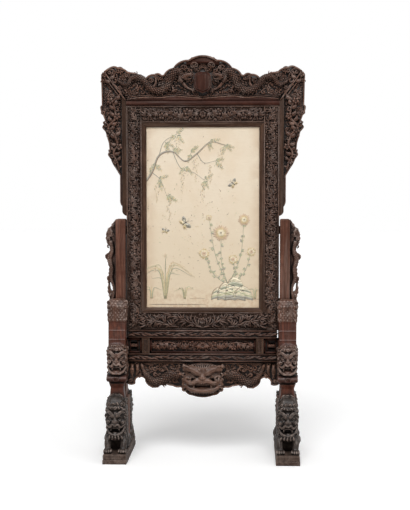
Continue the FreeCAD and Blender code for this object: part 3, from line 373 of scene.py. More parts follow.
def pair(carving, name, node, finish, stands_in=True, merge=None):
    """A piece of the right-hand side and its mirror twin on the left."""
    right = carving.piece(name, node, finish_for(finish), stands_in, merge)
    twin(right, name.replace("right", "left"), "X", node.replace("right", "left"), stands_in)


def curls(carving, size, start, hand, sunk=2 * MM, **shape):
    """A motif for clothe: a curl sunk into the face, turned by start, or further from each to the next."""
    def motif(i, spot, out):
        curl(carving, spot - out * sunk, size, i if start is None else start, hand, out=out, **shape)
    return motif


def corners(carving, name, node, finish):
    """A sculpted piece of the right front and its twins at the stand's other three corners."""
    made = {"right_front": carving.piece(f"right_front_{name}", f"right_front_{node}", finish_for(finish),
                                         merge=settings().carving.voxel)}
    for start, end, axis in (("right_front", "left_front", "X"), ("right_front", "right_rear", "Y"),
                             ("left_front", "left_rear", "Y")):
        made[end] = twin(made[start], f"{end}_{name}", axis, f"{end}_{node}")
    return made.values()


def slot_of(node):
    """The record's material slot of a node."""
    return next(part["material_slot"] for part in frame["record"]["subparts"] if part["node"] == node)


class Board:
    """A carved board's face, on which shares across, up and out of the ground become points."""

    def __init__(self, node, sunk, one_side=False):
        low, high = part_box(node)
        self.front, self.rear = low.y, high.y
        self.sunk = sunk
        self.base, self.rise = low.z, high.z - low.z
        self.start = low.x if one_side else (low.x + high.x) / 2
        self.reach = (high.x - low.x) if one_side else (high.x - low.x) / 2
        self.ground = self.front + sunk

    def at(self, across, up, out=0.0):
        return np.array((self.start + self.reach * across, self.ground - self.sunk * out,
                         self.base + self.rise * up))

    def line(self, shares):
        return [self.at(*share) for share in shares]

    def round(self, across, up):
        """A key that sorts (x, z) points by their direction from a place on the board."""
        return lambda spot: math.atan2(spot[1] - self.base - self.rise * up,
                                       spot[0] - self.start - self.reach * across)


class Body:
    """A sculpted piece's box, in which shares across, up and forward from its rear become points."""

    def __init__(self, node):
        low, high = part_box(node)
        self.middle, self.half = (low.x + high.x) / 2, (high.x - low.x) / 2
        self.rear, self.reach = high.y, high.y - low.y
        self.base, self.rise = low.z, high.z - low.z

    def at(self, across, up, forward):
        return np.array((self.middle + self.half * across, self.rear - self.reach * forward,
                         self.base + self.rise * up))


def rear_outline(node):
    """The outline of a sawn board, read from the flat rear face of its solid."""
    mesh = frame["nodes"][node].data
    rear = max(vertex.co.y for vertex in mesh.vertices)
    spot = [(round(vertex.co.x, 6), round(vertex.co.z, 6)) for vertex in mesh.vertices]
    flat = [vertex.co.y > rear - MM / 10 for vertex in mesh.vertices]
    edges = set()
    for face in mesh.polygons:
        if all(flat[corner] for corner in face.vertices):
            corners = [spot[corner] for corner in face.vertices]
            edges.update(zip(corners, corners[1:] + corners[:1]))
    following = {start: end for start, end in edges if (end, start) not in edges}
    outline = [min(following)]
    while following[outline[-1]] != outline[0]:
        outline.append(following[outline[-1]])
    return outline


def curl(carving, centre, size, start=0.0, hand=1, out=FRONT, turns=1.1, wide=0.32, rise=0.3):
    """A snail curl that winds in and rises to its heart."""
    across, up = face_axes(out)
    share = np.linspace(0, 1, round(8 * turns) + 1)
    radius = size * (1 - 0.75 * share)
    angle = start + hand * TURN * turns * share
    line = (centre + across * (radius * np.cos(angle))[:, None] + up * (radius * np.sin(angle))[:, None]
            + out * (size * rise * share)[:, None])
    carving.sweep(line, size * wide * np.array((0.6, 1, 1.05, 1.2)), out=out, sides=6, steps=1)


def cloud(carving, centre, size, tilt):
    """A cloud head of two curls under a crown, with a tail."""
    ahead, beside = heading(tilt), heading(tilt - math.pi / 2)
    for hand in (-1, 1):
        curl(carving, centre + beside * (hand * 0.5 * size), 0.55 * size, tilt, -hand, wide=0.42)
    crown = [centre + beside * size, centre + ahead * (0.66 * size) + beside * (0.56 * size),
             centre + ahead * (0.85 * size), centre + ahead * (0.66 * size) - beside * (0.56 * size),
             centre - beside * size]
    carving.sweep(crown, size * np.array((0.1, 0.25, 0.3, 0.25, 0.1)), sides=6, steps=2)
    tail = [centre - ahead * (1.1 * size), centre - ahead * (0.45 * size), centre]
    carving.sweep(tail, size * np.array((0.06, 0.24, 0.2)), sides=6, steps=2)


def leaf(carving, root, tip, wide, lift=0.2, bend=0.12, out=FRONT):
    """A pointed leaf with its middle lifted and a raised rib."""
    root, tip = np.asarray(root), np.asarray(tip)
    along = tip - root
    reach = np.linalg.norm(along)
    beside = unit(np.cross(along, out)) * reach
    middle = (root + tip) / 2 + out * (lift * reach) + beside * bend
    carving.sweep([root, middle, tip], wide * np.array((0.2, 0.8, 1, 0.85, 0.5, 0.06)),
                  wide * np.array((0.25, 0.4, 0.42, 0.35, 0.25, 0.06)), out=out, sides=6, steps=4)
    carving.sweep([root, middle + out * (wide * 0.38), tip], wide * np.array((0.2, 0.16, 0.04)), out=out,
                  sides=4, steps=3)


def blossom(carving, centre, size, start=0.3, petals=5):
    """An open flower of round petals about a heart."""
    for i in range(petals):
        ahead = heading(start + TURN * i / petals)
        carving.sweep([centre + ahead * (0.15 * size), centre + ahead * (0.6 * size) + FRONT * (0.22 * size),
                       centre + ahead * size], size * np.array((0.16, 0.36, 0.4, 0.34, 0.1)),
                      size * np.array((0.14, 0.17, 0.18, 0.16, 0.06)), sides=6, steps=3)
    carving.ball(centre + FRONT * (0.2 * size), 0.2 * size, rings=5, sides=8)


def spray(carving, root, angle, size, count):
    """Leaves fanned out from one root."""
    for i in range(count):
        turn = angle + (i - (count - 1) / 2) * 0.62
        leaf(carving, root, root + heading(turn) * size * (1 - 0.12 * abs(i - (count - 1) / 2)), size * 0.15,
             bend=0.1 * (i - 1))


def fill(carving, outline, pitch, seed, ground, kinds, avoid=()):
    """Motifs packed over a field, in staggered rows, as a carver leaves no ground bare."""
    kinds = kinds.split()
    fans = {"leaf": ((0, 2.2), 1.7, 0.42), "frond": ((-0.8, 0, 0.8, 2.6), 2.0, 0.36)}
    for x, z, random in staggered(outline, pitch, seed, pitch * 0.36):
        if any(math.hypot(x - ax, z - az) < reach for ax, az, reach in avoid):
            continue
        spot = np.array((x, ground - random.uniform(0.08, 0.2) * pitch, z))
        kind, angle, size = random.choice(kinds), random.uniform(0, TURN), pitch * random.uniform(0.52, 0.66)
        if kind in fans:
            turns, reach, wide = fans[kind]
            for turn in turns:
                tip = spot + heading(angle + turn) * size * reach
                if within(outline, tip[0], tip[2]):
                    leaf(carving, spot, tip, size * wide, lift=0.14, bend=0.15 * turn)
        elif kind == "cloud":
            cloud(carving, spot, size * 0.9, angle)
        elif kind == "blossom":
            blossom(carving, spot, size, angle)
        else:
            curl(carving, spot, size, angle, 1 if random.random() > 0.5 else -1, wide=STOUT)


def vine(carving, start, end, half, seed, lift):
    """A branch that crosses a field from side to side over a bed of leaves, with sprays and blossoms."""
    sizes = settings().carving
    random = np.random.default_rng(seed)
    start, end = np.asarray(start, float), np.asarray(end, float)
    reach = np.linalg.norm(end - start)
    along = (end - start) / reach
    beside = np.cross(along, FRONT)
    edge = beside * (half + 3 * MM)
    corners = [start + edge, end + edge, end - edge, start - edge]
    fill(carving, [(spot[0], spot[2]) for spot in corners], sizes.leaf * 0.5, seed, start[1],
         "frond leaf frond curl")
    count = max(3, int(reach / (half * 2.4)))
    knots = [start + along * (reach * i / count) + beside * half * 0.62 * (-1) ** i * random.uniform(0.7, 1.1)
             + FRONT * lift * random.uniform(0.5, 0.7) for i in range(count + 1)]
    carving.sweep(knots, sizes.stem * np.array((1.1, 0.8, 1.2, 0.8)), sides=7, steps=6)
    angle = math.atan2(along[2], along[0])
    for i, spot in enumerate(evenly(spline(knots, 8), half * 0.74)[1:-1]):
        side = -1 if (spot - start) @ beside > 0 else 1
        room = half - side * float((spot - start) @ beside)
        size = min(room * 0.95, sizes.leaf * random.uniform(0.95, 1.3))
        if i % 5 == 2:
            bloom = min(sizes.blossom * random.uniform(0.85, 1.1), room * 0.5)
            blossom(carving, spot + side * beside * room * 0.5 + FRONT * (lift * 0.25), bloom,
                    random.uniform(0, 6))
        else:
            spray(carving, spot + FRONT * (lift * 0.2), angle - side * random.uniform(0.7, 1.4), size,
                  3 + i % 2)


def bamboo(carving, start, end, level, half, lift, seed):
    """A jointed stalk that crosses a level field, with fans of long leaves."""
    random = np.random.default_rng(seed)
    stalk = [start, (start + end) / 2 + FRONT * lift, end]
    carving.sweep(stalk, settings().carving.stem * np.array((0.9, 0.8, 0.6)), sides=8, steps=6)
    angle = math.atan2(end[2] - start[2], end[0] - start[0])
    for i, spot in enumerate(evenly(spline(stalk, 8), 19 * MM)):
        ring = heading(angle) * 1.5 * MM
        carving.sweep([spot - ring, spot, spot + ring], 5 * MM, sides=8, steps=1)
        side = 1 if i % 2 else -1
        for turn in (0.3, 0.75, 1.2):
            ahead = heading(angle + side * turn + random.uniform(-0.12, 0.12))
            off = abs(spot[2] - level)
            room = half - off if ahead[2] * (spot[2] - level) > 0 else half + off
            size = min(random.uniform(46, 60) * MM, room / max(abs(ahead[2]), 0.1))
            if size > 14 * MM:
                leaf(carving, spot + FRONT * lift * 0.4, spot + ahead * size, 4.6 * MM, bend=0.1 * side)


def dragon_body(carving, knots, radius, out=FRONT):
    """A dragon's body with rows of scales on its open side and fins along its back."""
    pitch = settings().carving.scale
    line = evenly(spline(knots, 12), pitch)
    girth = profile(radius, len(line))
    carving.sweep(line, girth, out=out, sides=10, steps=1)
    along = unit(np.gradient(line, axis=0))
    outward = unit(out - (along @ out)[:, None] * along)
    side = np.cross(along, outward)
    for i in range(1, len(line) - 1):
        for turn in np.radians((-58, -20, 20, 58) if i % 2 else (-78, -39, 0, 39, 78)):
            away = side[i] * math.sin(turn) + outward[i] * math.cos(turn)
            spot = line[i] + away * girth[i] * 0.97
            reach = along[i] * min(pitch, girth[i]) * 0.62
            carving.sweep([spot + reach, spot - reach * 0.6 + away * 0.16 * girth[i], spot - reach],
                          girth[i] * np.array((0.1, 0.27, 0.16)), girth[i] * 0.1, out=away, sides=5, steps=1)
        if i % 2:
            spot = line[i] + side[i] * girth[i] * 0.85
            leaf(carving, spot, spot + (side[i] - along[i] * 0.5) * girth[i] * 0.95, girth[i] * 0.24, out=out)


def dragon_head(carving, centre, size, angle, hand, out=FRONT):
    """A dragon's head in side view, jaws open, with horns, whiskers, mane and beard."""
    ahead, above = heading(angle, out), heading(angle + hand * math.pi / 2, out)

    def spot(forward, up, proud=0.0):
        return centre + (ahead * forward + above * up + out * proud) * size

    def rod(places, wide, deep=None, sides=7):
        carving.sweep([spot(*place) for place in places], size * np.asarray(wide),
                      None if deep is None else size * np.asarray(deep), out=out, sides=sides, steps=4)

    carving.ball(spot(0, 0.05), size * np.array((0.46, 0.4, 0.42)), rings=8, sides=12)
    rod(((-0.1, 0.1, 0.15), (0.35, 0.16, 0.22), (0.75, 0.12, 0.2), (0.98, 0.24, 0.18)),
        (0.34, 0.27, 0.22, 0.12))
    rod(((-0.15, -0.2, 0.05), (0.3, -0.36, 0.1), (0.68, -0.42, 0.12), (0.85, -0.3, 0.12)),
        (0.2, 0.14, 0.12, 0.07))
    rod(((0.1, -0.1, 0.1), (0.5, -0.17, 0.14), (0.8, -0.08, 0.2)), (0.1, 0.09, 0.03))
    for forward in (0.3, 0.5, 0.7, 0.86):
        rod(((forward, 0.02, 0.26), (forward + 0.03, -0.14, 0.27)), (0.05, 0.015), sides=5)
    carving.ball(spot(0.92, 0.24, 0.28), size * 0.11, rings=5, sides=7)
    carving.ball(spot(0.22, 0.3, 0.34), size * 0.12, rings=6, sides=8)
    rod(((0.02, 0.34, 0.34), (0.24, 0.48, 0.36), (0.46, 0.34, 0.3)), (0.05, 0.09, 0.04))
    curl(carving, spot(-0.22, 0.02, 0.34), size * 0.24, angle, hand, out)
    for lean in (0.0, 0.22):
        rod(((-0.05, 0.38, 0.2 - lean), (-0.5, 0.62 + lean, 0.22 - lean), (-0.95, 0.6 + lean, 0.16),
             (-1.15, 0.82 + lean, 0.1)), (0.1, 0.08, 0.06, 0.02))
    rod(((0.9, 0.1, 0.28), (0.8, -0.12, 0.38), (0.45, -0.02, 0.42), (0.2, -0.3, 0.38)),
        (0.045, 0.04, 0.03, 0.015), sides=5)
    for i in range(7):
        turn = angle + hand * (math.pi * (0.72 + 0.1 * i))
        root = spot(-0.3, 0.12 - 0.08 * i, 0.12)
        leaf(carving, root, root + heading(turn, out) * size * (0.85 - 0.05 * i), size * 0.13,
             bend=0.2 * hand, out=out)
    for i in range(3):
        root = spot(0.15 + 0.2 * i, -0.42, 0.05)
        leaf(carving, root, root + (above * -0.42 - ahead * 0.22) * size, size * 0.07, bend=0.2, out=out)


def claw(carving, shoulder, wrist, size, angle, out=FRONT):
    """A leg that ends in four hooked toes."""
    elbow = (shoulder + wrist) / 2 + heading(angle + math.pi / 2, out) * size * 0.4
    carving.sweep([shoulder, elbow, wrist], size * np.array((0.5, 0.4, 0.27, 0.3)), out=out, steps=5)
    leaf(carving, elbow, elbow - heading(angle, out) * size * 1.1, size * 0.2, out=out)
    for turn in (-0.95, -0.3, 0.35, 1.0):
        ahead = heading(angle + turn, out)
        hook = heading(angle + turn - 1.1, out)
        carving.sweep([wrist, wrist + ahead * size * 0.55 + out * size * 0.2,
                       wrist + (ahead * 0.95 + hook * 0.1) * size,
                       wrist + (ahead * 1.05 + hook * 0.42) * size - out * size * 0.1],
                      size * np.array((0.2, 0.17, 0.13, 0.02)), out=out, sides=6, steps=3)


def lion_face(carving, at, half, teeth, rows):
    """A guardian lion's face: curls, brows, lidded eyes, broad nose, cheeks, lips, teeth and mane."""

    def rod(places, wide, deep=None, sides=8, steps=4):
        carving.sweep([at(*place) for place in places], half * np.asarray(wide),
                      None if deep is None else half * np.asarray(deep), sides=sides, steps=steps)

    for side in (-1, 1):
        rod(((0.05 * side, 0.6, 0.4), (0.26 * side, 0.68, 0.5), (0.56 * side, 0.78, 0.4),
             (0.92 * side, 0.74, 0.1)), (0.13, 0.19, 0.17, 0.08), (0.12, 0.14, 0.13, 0.06))
        for i in range(6):
            root = at((0.14 + 0.14 * i) * side, 0.7 + 0.02 * i, 0.5 - 0.07 * i)
            leaf(carving, root, root + half * np.array((0.12 * side, 0, 0.24)), half * 0.085)
        carving.ball(at(0.42 * side, 0.585, 0.24), half * np.array((0.17, 0.15, 0.12)))
        rod(((0.2 * side, 0.585, 0.32), (0.42 * side, 0.65, 0.36), (0.66 * side, 0.61, 0.2)),
            (0.05, 0.06, 0.05), sides=6)
        rod(((0.2 * side, 0.56, 0.32), (0.42 * side, 0.515, 0.34), (0.66 * side, 0.59, 0.2)),
            (0.05, 0.06, 0.05), sides=6)
        carving.ball(at(0.68 * side, 0.46, 0.1), half * np.array((0.26, 0.22, 0.23)))
        curl(carving, at(0.7 * side, 0.47, 0.34), half * 0.19, 0.4, side, wide=STOUT)
        carving.ball(at(0.22 * side, 0.465, 0.42), half * np.array((0.17, 0.14, 0.12)), rings=6, sides=8)
        rod(((0.0, 0.365, 0.52), (0.25 * side, 0.41, 0.5), (0.54 * side, 0.325, 0.38),
             (0.92 * side, 0.4, 0.1)), (0.12, 0.14, 0.14, 0.07))
        rod(((0.0, 0.08, 0.44), (0.34 * side, 0.1, 0.4), (0.68 * side, 0.17, 0.25),
             (0.92 * side, 0.34, 0.08)), (0.13, 0.15, 0.13, 0.07))
        rod(((0.4 * side, 0.33, 0.38), (0.41 * side, 0.19, 0.42)), (0.09, 0.035), sides=6)
        ear = at(0.88 * side, 0.78, 0.0)
        leaf(carving, ear, ear + half * np.array((0.04 * side, -0.05, 0.3)), half * 0.16)
        for i in range(4):
            curl(carving, at(0.88 * side, 0.6 - 0.16 * i, 0.08), half * 0.16, 1.5, side, wide=STOUT)
    carving.ball(at(0, 0.5, 0.48), half * np.array((0.25, 0.2, 0.17)))
    rod(((0, 0.76, 0.34), (0, 0.63, 0.44), (0, 0.53, 0.5)), (0.15, 0.12, 0.18))
    for across in np.linspace(-0.28, 0.28, teeth):
        carving.ball(at(across, 0.3, 0.4), half * np.array((0.05, 0.05, 0.075)), rings=5, sides=6)
    rod(((0, 0.13, 0.2), (0, 0.16, 0.36), (0, 0.12, 0.46)), (0.18, 0.19, 0.1), (0.06, 0.05, 0.03))
    for row, up in enumerate(rows):
        count = 5 - row
        for i in range(count):
            across = (i - (count - 1) / 2) * 1.55 / count
            curl(carving, at(across, up, 0.26 - 0.1 * row - 0.14 * abs(across)), half * 0.19, 1.0 + i,
                 1 if across > 0 else -1, wide=STOUT)


class Nodes:
    """The nodes of a material or a world, each made and linked in one call."""

    def __init__(self, name, kind="materials"):
        self.owner = getattr(bpy.data, kind).new(name)
        self.owner.use_nodes = True
        self.tree = self.owner.node_tree
        self.tree.nodes.clear()

    def add(self, kind, inputs=None, **options):
        node = self.tree.nodes.new("ShaderNode" + kind)
        for option, value in options.items():
            setattr(node, option, value)
        for key, value in (inputs or {}).items():
            if isinstance(value, bpy.types.NodeSocket):
                self.tree.links.new(value, node.inputs[key])
            else:
                node.inputs[key].default_value = value
        return node

    def ramp(self, factor, low, high):
        """How far a value lies between two others, from 0 to 1."""
        return self.add("MapRange", {"Value": factor, "From Min": low, "From Max": high},
                        interpolation_type="SMOOTHSTEP").outputs[0]

    def mix(self, factor, *colours):
        """Two colours mixed by a share."""
        first, second = (colour if isinstance(colour, bpy.types.NodeSocket) else (*colour[:3], 1)
                         for colour in colours)
        return self.add("Mix", {0: factor, 6: first, 7: second}, data_type="RGBA").outputs[2]

    def times(self, first, second, kind="MULTIPLY"):
        return self.add("Math", {0: first, 1: second}, operation=kind).outputs[0]

    def noise(self, scale, stretch=(1, 1, 1), detail=4, roughness=0.6, distortion=0):
        place = self.add("TexCoord").outputs["Object"]
        if stretch != (1, 1, 1):
            place = self.add("Mapping", {"Vector": place, "Scale": stretch}).outputs[0]
        return self.add("TexNoise", {"Vector": place, "Scale": scale, "Detail": detail,
                                     "Roughness": roughness, "Distortion": distortion}).outputs[0]

    def bump(self, height, strength, depth, under=None):
        """Relief from a height, over another relief where there is one."""
        below = {"Normal": under} if under else {}
        return self.add("Bump", {"Height": height, "Strength": strength, "Distance": depth,
                                 **below}).outputs[0]

    def shelter(self, reach):
        """How open a place is, from 0 in a hollow to 1, by ambient occlusion; it is used to paint shade."""
        return self.add("AmbientOcclusion", {"Distance": reach}, samples=6).outputs["AO"]

    def seen(self):
        """1 to the camera, and to what it sees in a gleam or through glass, and 0 to all other rays."""
        rays = self.add("LightPath").outputs
        looking = self.times(rays["Is Camera Ray"], rays["Is Glossy Ray"], "MAXIMUM")
        return self.times(looking, rays["Is Transmission Ray"], "MAXIMUM")

    def surface(self, base, dull, relief, others=None):
        """The material, with a colour, how dull it is, its relief and what else it has."""
        inputs = {"Base Color": base, "Roughness": dull, "Normal": relief, **(others or {})}
        return self.finish(self.add("BsdfPrincipled", inputs).outputs[0])

    def finish(self, shader):
        self.add("OutputMaterial", {"Surface": shader})
        return self.owner


def wood(name, tint, grain="Z", carved=True, wear_and_highlight=0.6, reach=16):
    """Old waxed hardwood: grain, mottling, painted shade and grime in the hollows, and pale rubbing with a
    painted highlight on high places and edges.
    """
    looks = settings().wood
    nodes = Nodes(name)
    tint = np.array(tint) * (1.11 if carved else 0.97)
    stretch = {"X": (0.07, 1, 1), "Y": (1, 0.07, 1), "Z": (1, 1, 0.07)}[grain]
    fibres = nodes.noise(420, stretch, 5, 0.65, 0.5)
    bands = nodes.noise(46, stretch, 3, 0.55, 1.4)
    patches = nodes.noise(11, detail=5, roughness=0.7)
    base = nodes.mix(nodes.ramp(bands, 0.34, 0.68), tint * 0.5, tint * 1.35)
    base = nodes.mix(nodes.times(nodes.ramp(fibres, 0.42, 0.7), 0.5), base, tint * 0.35)
    base = nodes.mix(nodes.times(nodes.ramp(patches, 0.42, 0.66), 0.7), base, tint * (0.5, 0.44, 0.4))
    rubbing = nodes.ramp(nodes.noise(24, (1, 1, 1) if carved else stretch, 6, 0.7), 0.47, 0.68)
    base = nodes.mix(nodes.times(rubbing, 0.45 * wear_and_highlight), base, looks.worn)
    surface = nodes.add("NewGeometry").outputs
    # Painted highlight with real rubbing: a pale tone on the sharp high places of carving and along the
    # rounded edges of plain members.
    if carved:
        high = nodes.ramp(surface["Pointiness"], 0.505, 0.545)
    else:
        rounded = nodes.add("Bevel", {"Radius": 3 * MM}, samples=4).outputs[0]
        square = nodes.add("VectorMath", {0: rounded, 1: surface["Normal"]},
                           operation="DOT_PRODUCT").outputs["Value"]
        high = nodes.ramp(square, 0.995, 0.86)
    rubbed_and_highlit = nodes.times(nodes.times(high, nodes.ramp(nodes.noise(60, detail=5), 0.3, 0.6)), wear_and_highlight)
    base = nodes.mix(rubbed_and_highlit, base, np.array(looks.worn) * (1.5 if carved else 1))
    # Painted shade with some grime: the wood darkens where ambient occlusion, looking reach millimetres out,
    # finds hollows and corners.
    low, high = (0.5, 0.97) if carved else (0.1, 0.75)
    base = nodes.mix(nodes.ramp(nodes.shelter((reach if carved else 34) * MM), low, high), looks.dirt_and_shade, base)
    chips = nodes.noise(150 if carved else 60, detail=4, roughness=0.65)
    relief = nodes.bump(fibres, 0.4, 0.6 * MM)
    relief = nodes.bump(chips, 0.6 if carved else 0.2, 1.4 * MM, relief)
    wax, shine = (looks.wax, looks.shine) if carved else (looks.wax + 0.16, looks.shine * 0.4)
    dull = nodes.add("MapRange", {"Value": chips, "From Min": 0.3, "From Max": 0.7, "To Min": wax - 0.12,
                                  "To Max": wax + 0.14}).outputs[0]
    return nodes.surface(base, dull, relief, {"Specular IOR Level": shine})


def hollow_wood(name):
    """The sunk ground behind carving, rough from the chisel and painted nearly black as shade with grime."""
    looks = settings().wood
    nodes = Nodes(name)
    dirt_and_shade, tint = np.array(looks.dirt_and_shade), np.array(looks.crest)
    stipple = nodes.noise(240, detail=4, roughness=0.7)
    # Painted shade with grime: the sunk ground is made near-black.
    base = nodes.mix(nodes.ramp(stipple, 0.45, 0.75), dirt_and_shade * 1.2, tint * 0.4)
    return nodes.surface(base, 0.8, nodes.bump(stipple, 0.8, 1.5 * MM))


def softwood(name):
    """Planed, unfinished board darkened by age, with painted shade in its corners."""
    looks = settings().wood
    nodes = Nodes(name)
    tint = np.array(looks.softwood)
    bands = nodes.noise(38, (1, 1, 0.05), 4, 0.6, 1.8)
    fibres = nodes.noise(500, (1, 1, 0.05), 4)
    base = nodes.mix(nodes.ramp(bands, 0.36, 0.66), tint * 0.7, tint * 1.2)
    base = nodes.mix(nodes.ramp(nodes.noise(5), 0.4, 0.75), base, tint * 0.55)
    # Painted shade: darker where ambient occlusion finds corners and parts that come close.
    base = nodes.mix(nodes.ramp(nodes.shelter(30 * MM), 0.3, 0.9), tint * 0.25, base)
    return nodes.surface(base, 0.78, nodes.bump(fibres, 0.5, 0.6 * MM))


def iron(name):
    """Wrought iron, blackened and a little rusty."""
    looks = settings().wood
    nodes = Nodes(name)
    tint = np.array(looks.iron)
    pits = nodes.noise(700, detail=5)
    base = nodes.mix(nodes.ramp(pits, 0.5, 0.7), tint, tint * (1.9, 1.1, 0.6))
    return nodes.surface(base, 0.55, nodes.bump(pits, 0.6, 0.3 * MM), {"Metallic": 0.8})


def woven_silk(name):
    """Cream silk: a fine weave, slubs, mottling, painted shade that deepens towards the foot, and stains near
    the foot.
    """
    looks = settings().silk
    nodes = Nodes(name)
    tint = np.array(looks.silk)
    place = nodes.add("TexCoord").outputs["Object"]
    threads = [nodes.add("TexWave", {"Vector": place, "Scale": 420, "Distortion": 0.4},
                         bands_direction=axis).outputs[0] for axis in ("X", "Z")]
    weave = nodes.times(*threads, "ADD")
    slubs = nodes.noise(260, (0.06, 1, 1), 3)
    clouds = nodes.noise(5.5, detail=5)
    spots = nodes.noise(38, detail=6, roughness=0.75)
    base = nodes.mix(nodes.ramp(clouds, 0.38, 0.72), tint, tint * (0.94, 0.9, 0.85))
    base = nodes.mix(nodes.times(nodes.ramp(slubs, 0.5, 0.75), 0.35), base, tint * (0.88, 0.84, 0.76))
    level, _, height = nodes.add("SeparateXYZ", {0: place}).outputs
    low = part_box("silk_panel")[0].z
    # Painted shade: the silk darkens from high up down to its foot.
    base = nodes.mix(nodes.ramp(height, low + 0.75, low + 0.08), base, tint * (0.86, 0.83, 0.77))
    foot = nodes.ramp(height, low + 0.17, low + 0.03)
    stained = nodes.times(nodes.times(foot, nodes.ramp(spots, 0.4, 0.66)), 0.75)
    base = nodes.mix(stained, base, looks.stain)
    foxing = nodes.times(nodes.ramp(nodes.noise(24, detail=7, roughness=0.7), 0.66, 0.78), 0.35)
    base = nodes.mix(foxing, base, looks.stain)
    flecks = nodes.times(nodes.ramp(nodes.noise(85, (0.35, 1, 1), 6, 0.7), 0.57, 0.72), 0.4)
    base = nodes.mix(flecks, base, tint * (0.74, 0.7, 0.62))
    across = nodes.times(level, 0, "ABSOLUTE")
    edge = nodes.times(nodes.ramp(across, 0.215, 0.29), nodes.ramp(nodes.noise(14, detail=5), 0.3, 0.6))
    base = nodes.mix(nodes.times(edge, 0.5), base, looks.stain)
    line = nodes.ramp(nodes.times(nodes.times(height, low + 0.036, "SUBTRACT"), 0, "ABSOLUTE"), 0.003, 0.0008)
    left = nodes.ramp(level, 0.06, -0.05)
    line = nodes.times(nodes.times(line, left), nodes.ramp(nodes.noise(30, (1, 1, 0.2)), 0.35, 0.5))
    base = nodes.mix(nodes.times(line, 0.75), base, looks.ink)
    relief = nodes.bump(slubs, 0.2, 0.3 * MM, nodes.bump(weave, 0.12, 0.2 * MM))
    return nodes.surface(base, 0.62, relief, {"Sheen Weight": 0.25, "Sheen Roughness": 0.4})


def thread(name, tint):
    """Floss in satin stitch: fine ridges, a soft gleam and uneven dye."""
    nodes = Nodes(name)
    tint = np.array(tint)
    place = nodes.add("TexCoord").outputs["Object"]
    ridges = nodes.add("TexWave", {"Vector": place, "Scale": 330, "Distortion": 2.5, "Detail": 2},
                       bands_direction="DIAGONAL").outputs[0]
    dye = nodes.noise(48, detail=3)
    base = nodes.mix(nodes.ramp(dye, 0.35, 0.7), tint * 1.08, tint * 0.8)
    base = nodes.mix(nodes.times(ridges, 0.3), base, tint * 0.7)
    return nodes.surface(base, 0.45, nodes.bump(ridges, 0.5, 0.25 * MM), {"Sheen Weight": 0.3})


def studio_floor(name):
    """A pale floor that the camera sees as white wherever no shadow falls on it."""
    nodes = Nodes(name)
    stage = settings().stage
    tone = nodes.mix(nodes.noise(3), (stage.floor,) * 3, (stage.floor * 0.98,) * 3)
    matt = nodes.add("BsdfDiffuse", {"Color": tone}).outputs[0]
    bright = nodes.add("BsdfDiffuse",
                       {"Color": nodes.mix(nodes.noise(3), (0.99,) * 3, (0.97,) * 3)}).outputs[0]
    glow = nodes.add("Emission", {"Color": (1, 1, 1, 1), "Strength": stage.glow}).outputs[0]
    lifted = nodes.add("AddShader", {0: bright, 1: glow}).outputs[0]
    return nodes.finish(nodes.add("MixShader", {0: nodes.seen(), 1: matt, 2: lifted}).outputs[0])


# Each hardwood: its colour among the settings, the share taken of it, the way of its grain, and the rest.
WOODS = {
    "post_wood": ("reddish", 1, "Z", {"carved": False}),
    "moulding_wood": ("ruddy", 1, "X", {"carved": False, "wear_and_highlight": 0.4}),
    "shield_wood": ("ruddy", 1, "Z", {"carved": False, "wear_and_highlight": 0.4}),
    "strip_wood": ("slip", 0.7, "Z", {"carved": False, "wear_and_highlight": 0.4}),
    "slip_wood": ("slip", 1, "Z", {"carved": False, "wear_and_highlight": 0.4}),
    "level_slip_wood": ("slip", 1, "X", {"carved": False, "wear_and_highlight": 0.4}),
    "border_wood": ("border", 1, "Z", {"wear_and_highlight": 0.7}),
    "level_border_wood": ("border", 1, "X", {"wear_and_highlight": 0.7}),
    "frame_wood": ("border", 0.6, "Z", {"carved": False}),
    "level_frame_wood": ("border", 0.6, "X", {"carved": False}),
    "crest_wood": ("crest", 1, "X", {"wear_and_highlight": 1.0}),
    "wing_wood": ("crest", 1, "Z", {"wear_and_highlight": 1.0}),
    "stand_wood": ("carved", 1, "X", {}),
    "panel_wood": ("carved", 1.5, "X", {}),
    "apron_wood": ("apron", 1, "X", {}),
    "mask_wood": ("apron", 0.8, "X", {"wear_and_highlight": 0.4}),
    "bracket_wood": ("carved", 1, "Z", {"reach": 26}),
    "bracket_plate_wood": ("reddish", (0.52, 0.36, 0.3), "Z", {"wear_and_highlight": 0.15, "reach": 24}),
    "ball_wood": ("ruddy", 1.1, "Z", {"wear_and_highlight": 0.2, "reach": 24}),
    "lion_wood": ("lion", 1, "Z", {"wear_and_highlight": 0.45, "reach": 34}),
    "plinth_wood": ("foot", 1, "Y", {"carved": False, "wear_and_highlight": 0.9}),
}
OTHER_FINISHES = {"hollow_wood": hollow_wood, "softwood": softwood, "iron": iron}
FINISHES = {}


def finish_for(name):
    """One material of each kind, made when it is first asked for."""
    if name in WOODS and name not in FINISHES:
        source, share, grain, rest = WOODS[name]
        FINISHES[name] = wood(name, np.array(getattr(settings().wood, source)) * share, grain, **rest)
    elif name not in FINISHES:
        FINISHES[name] = OTHER_FINISHES[name](name)
    return FINISHES[name]


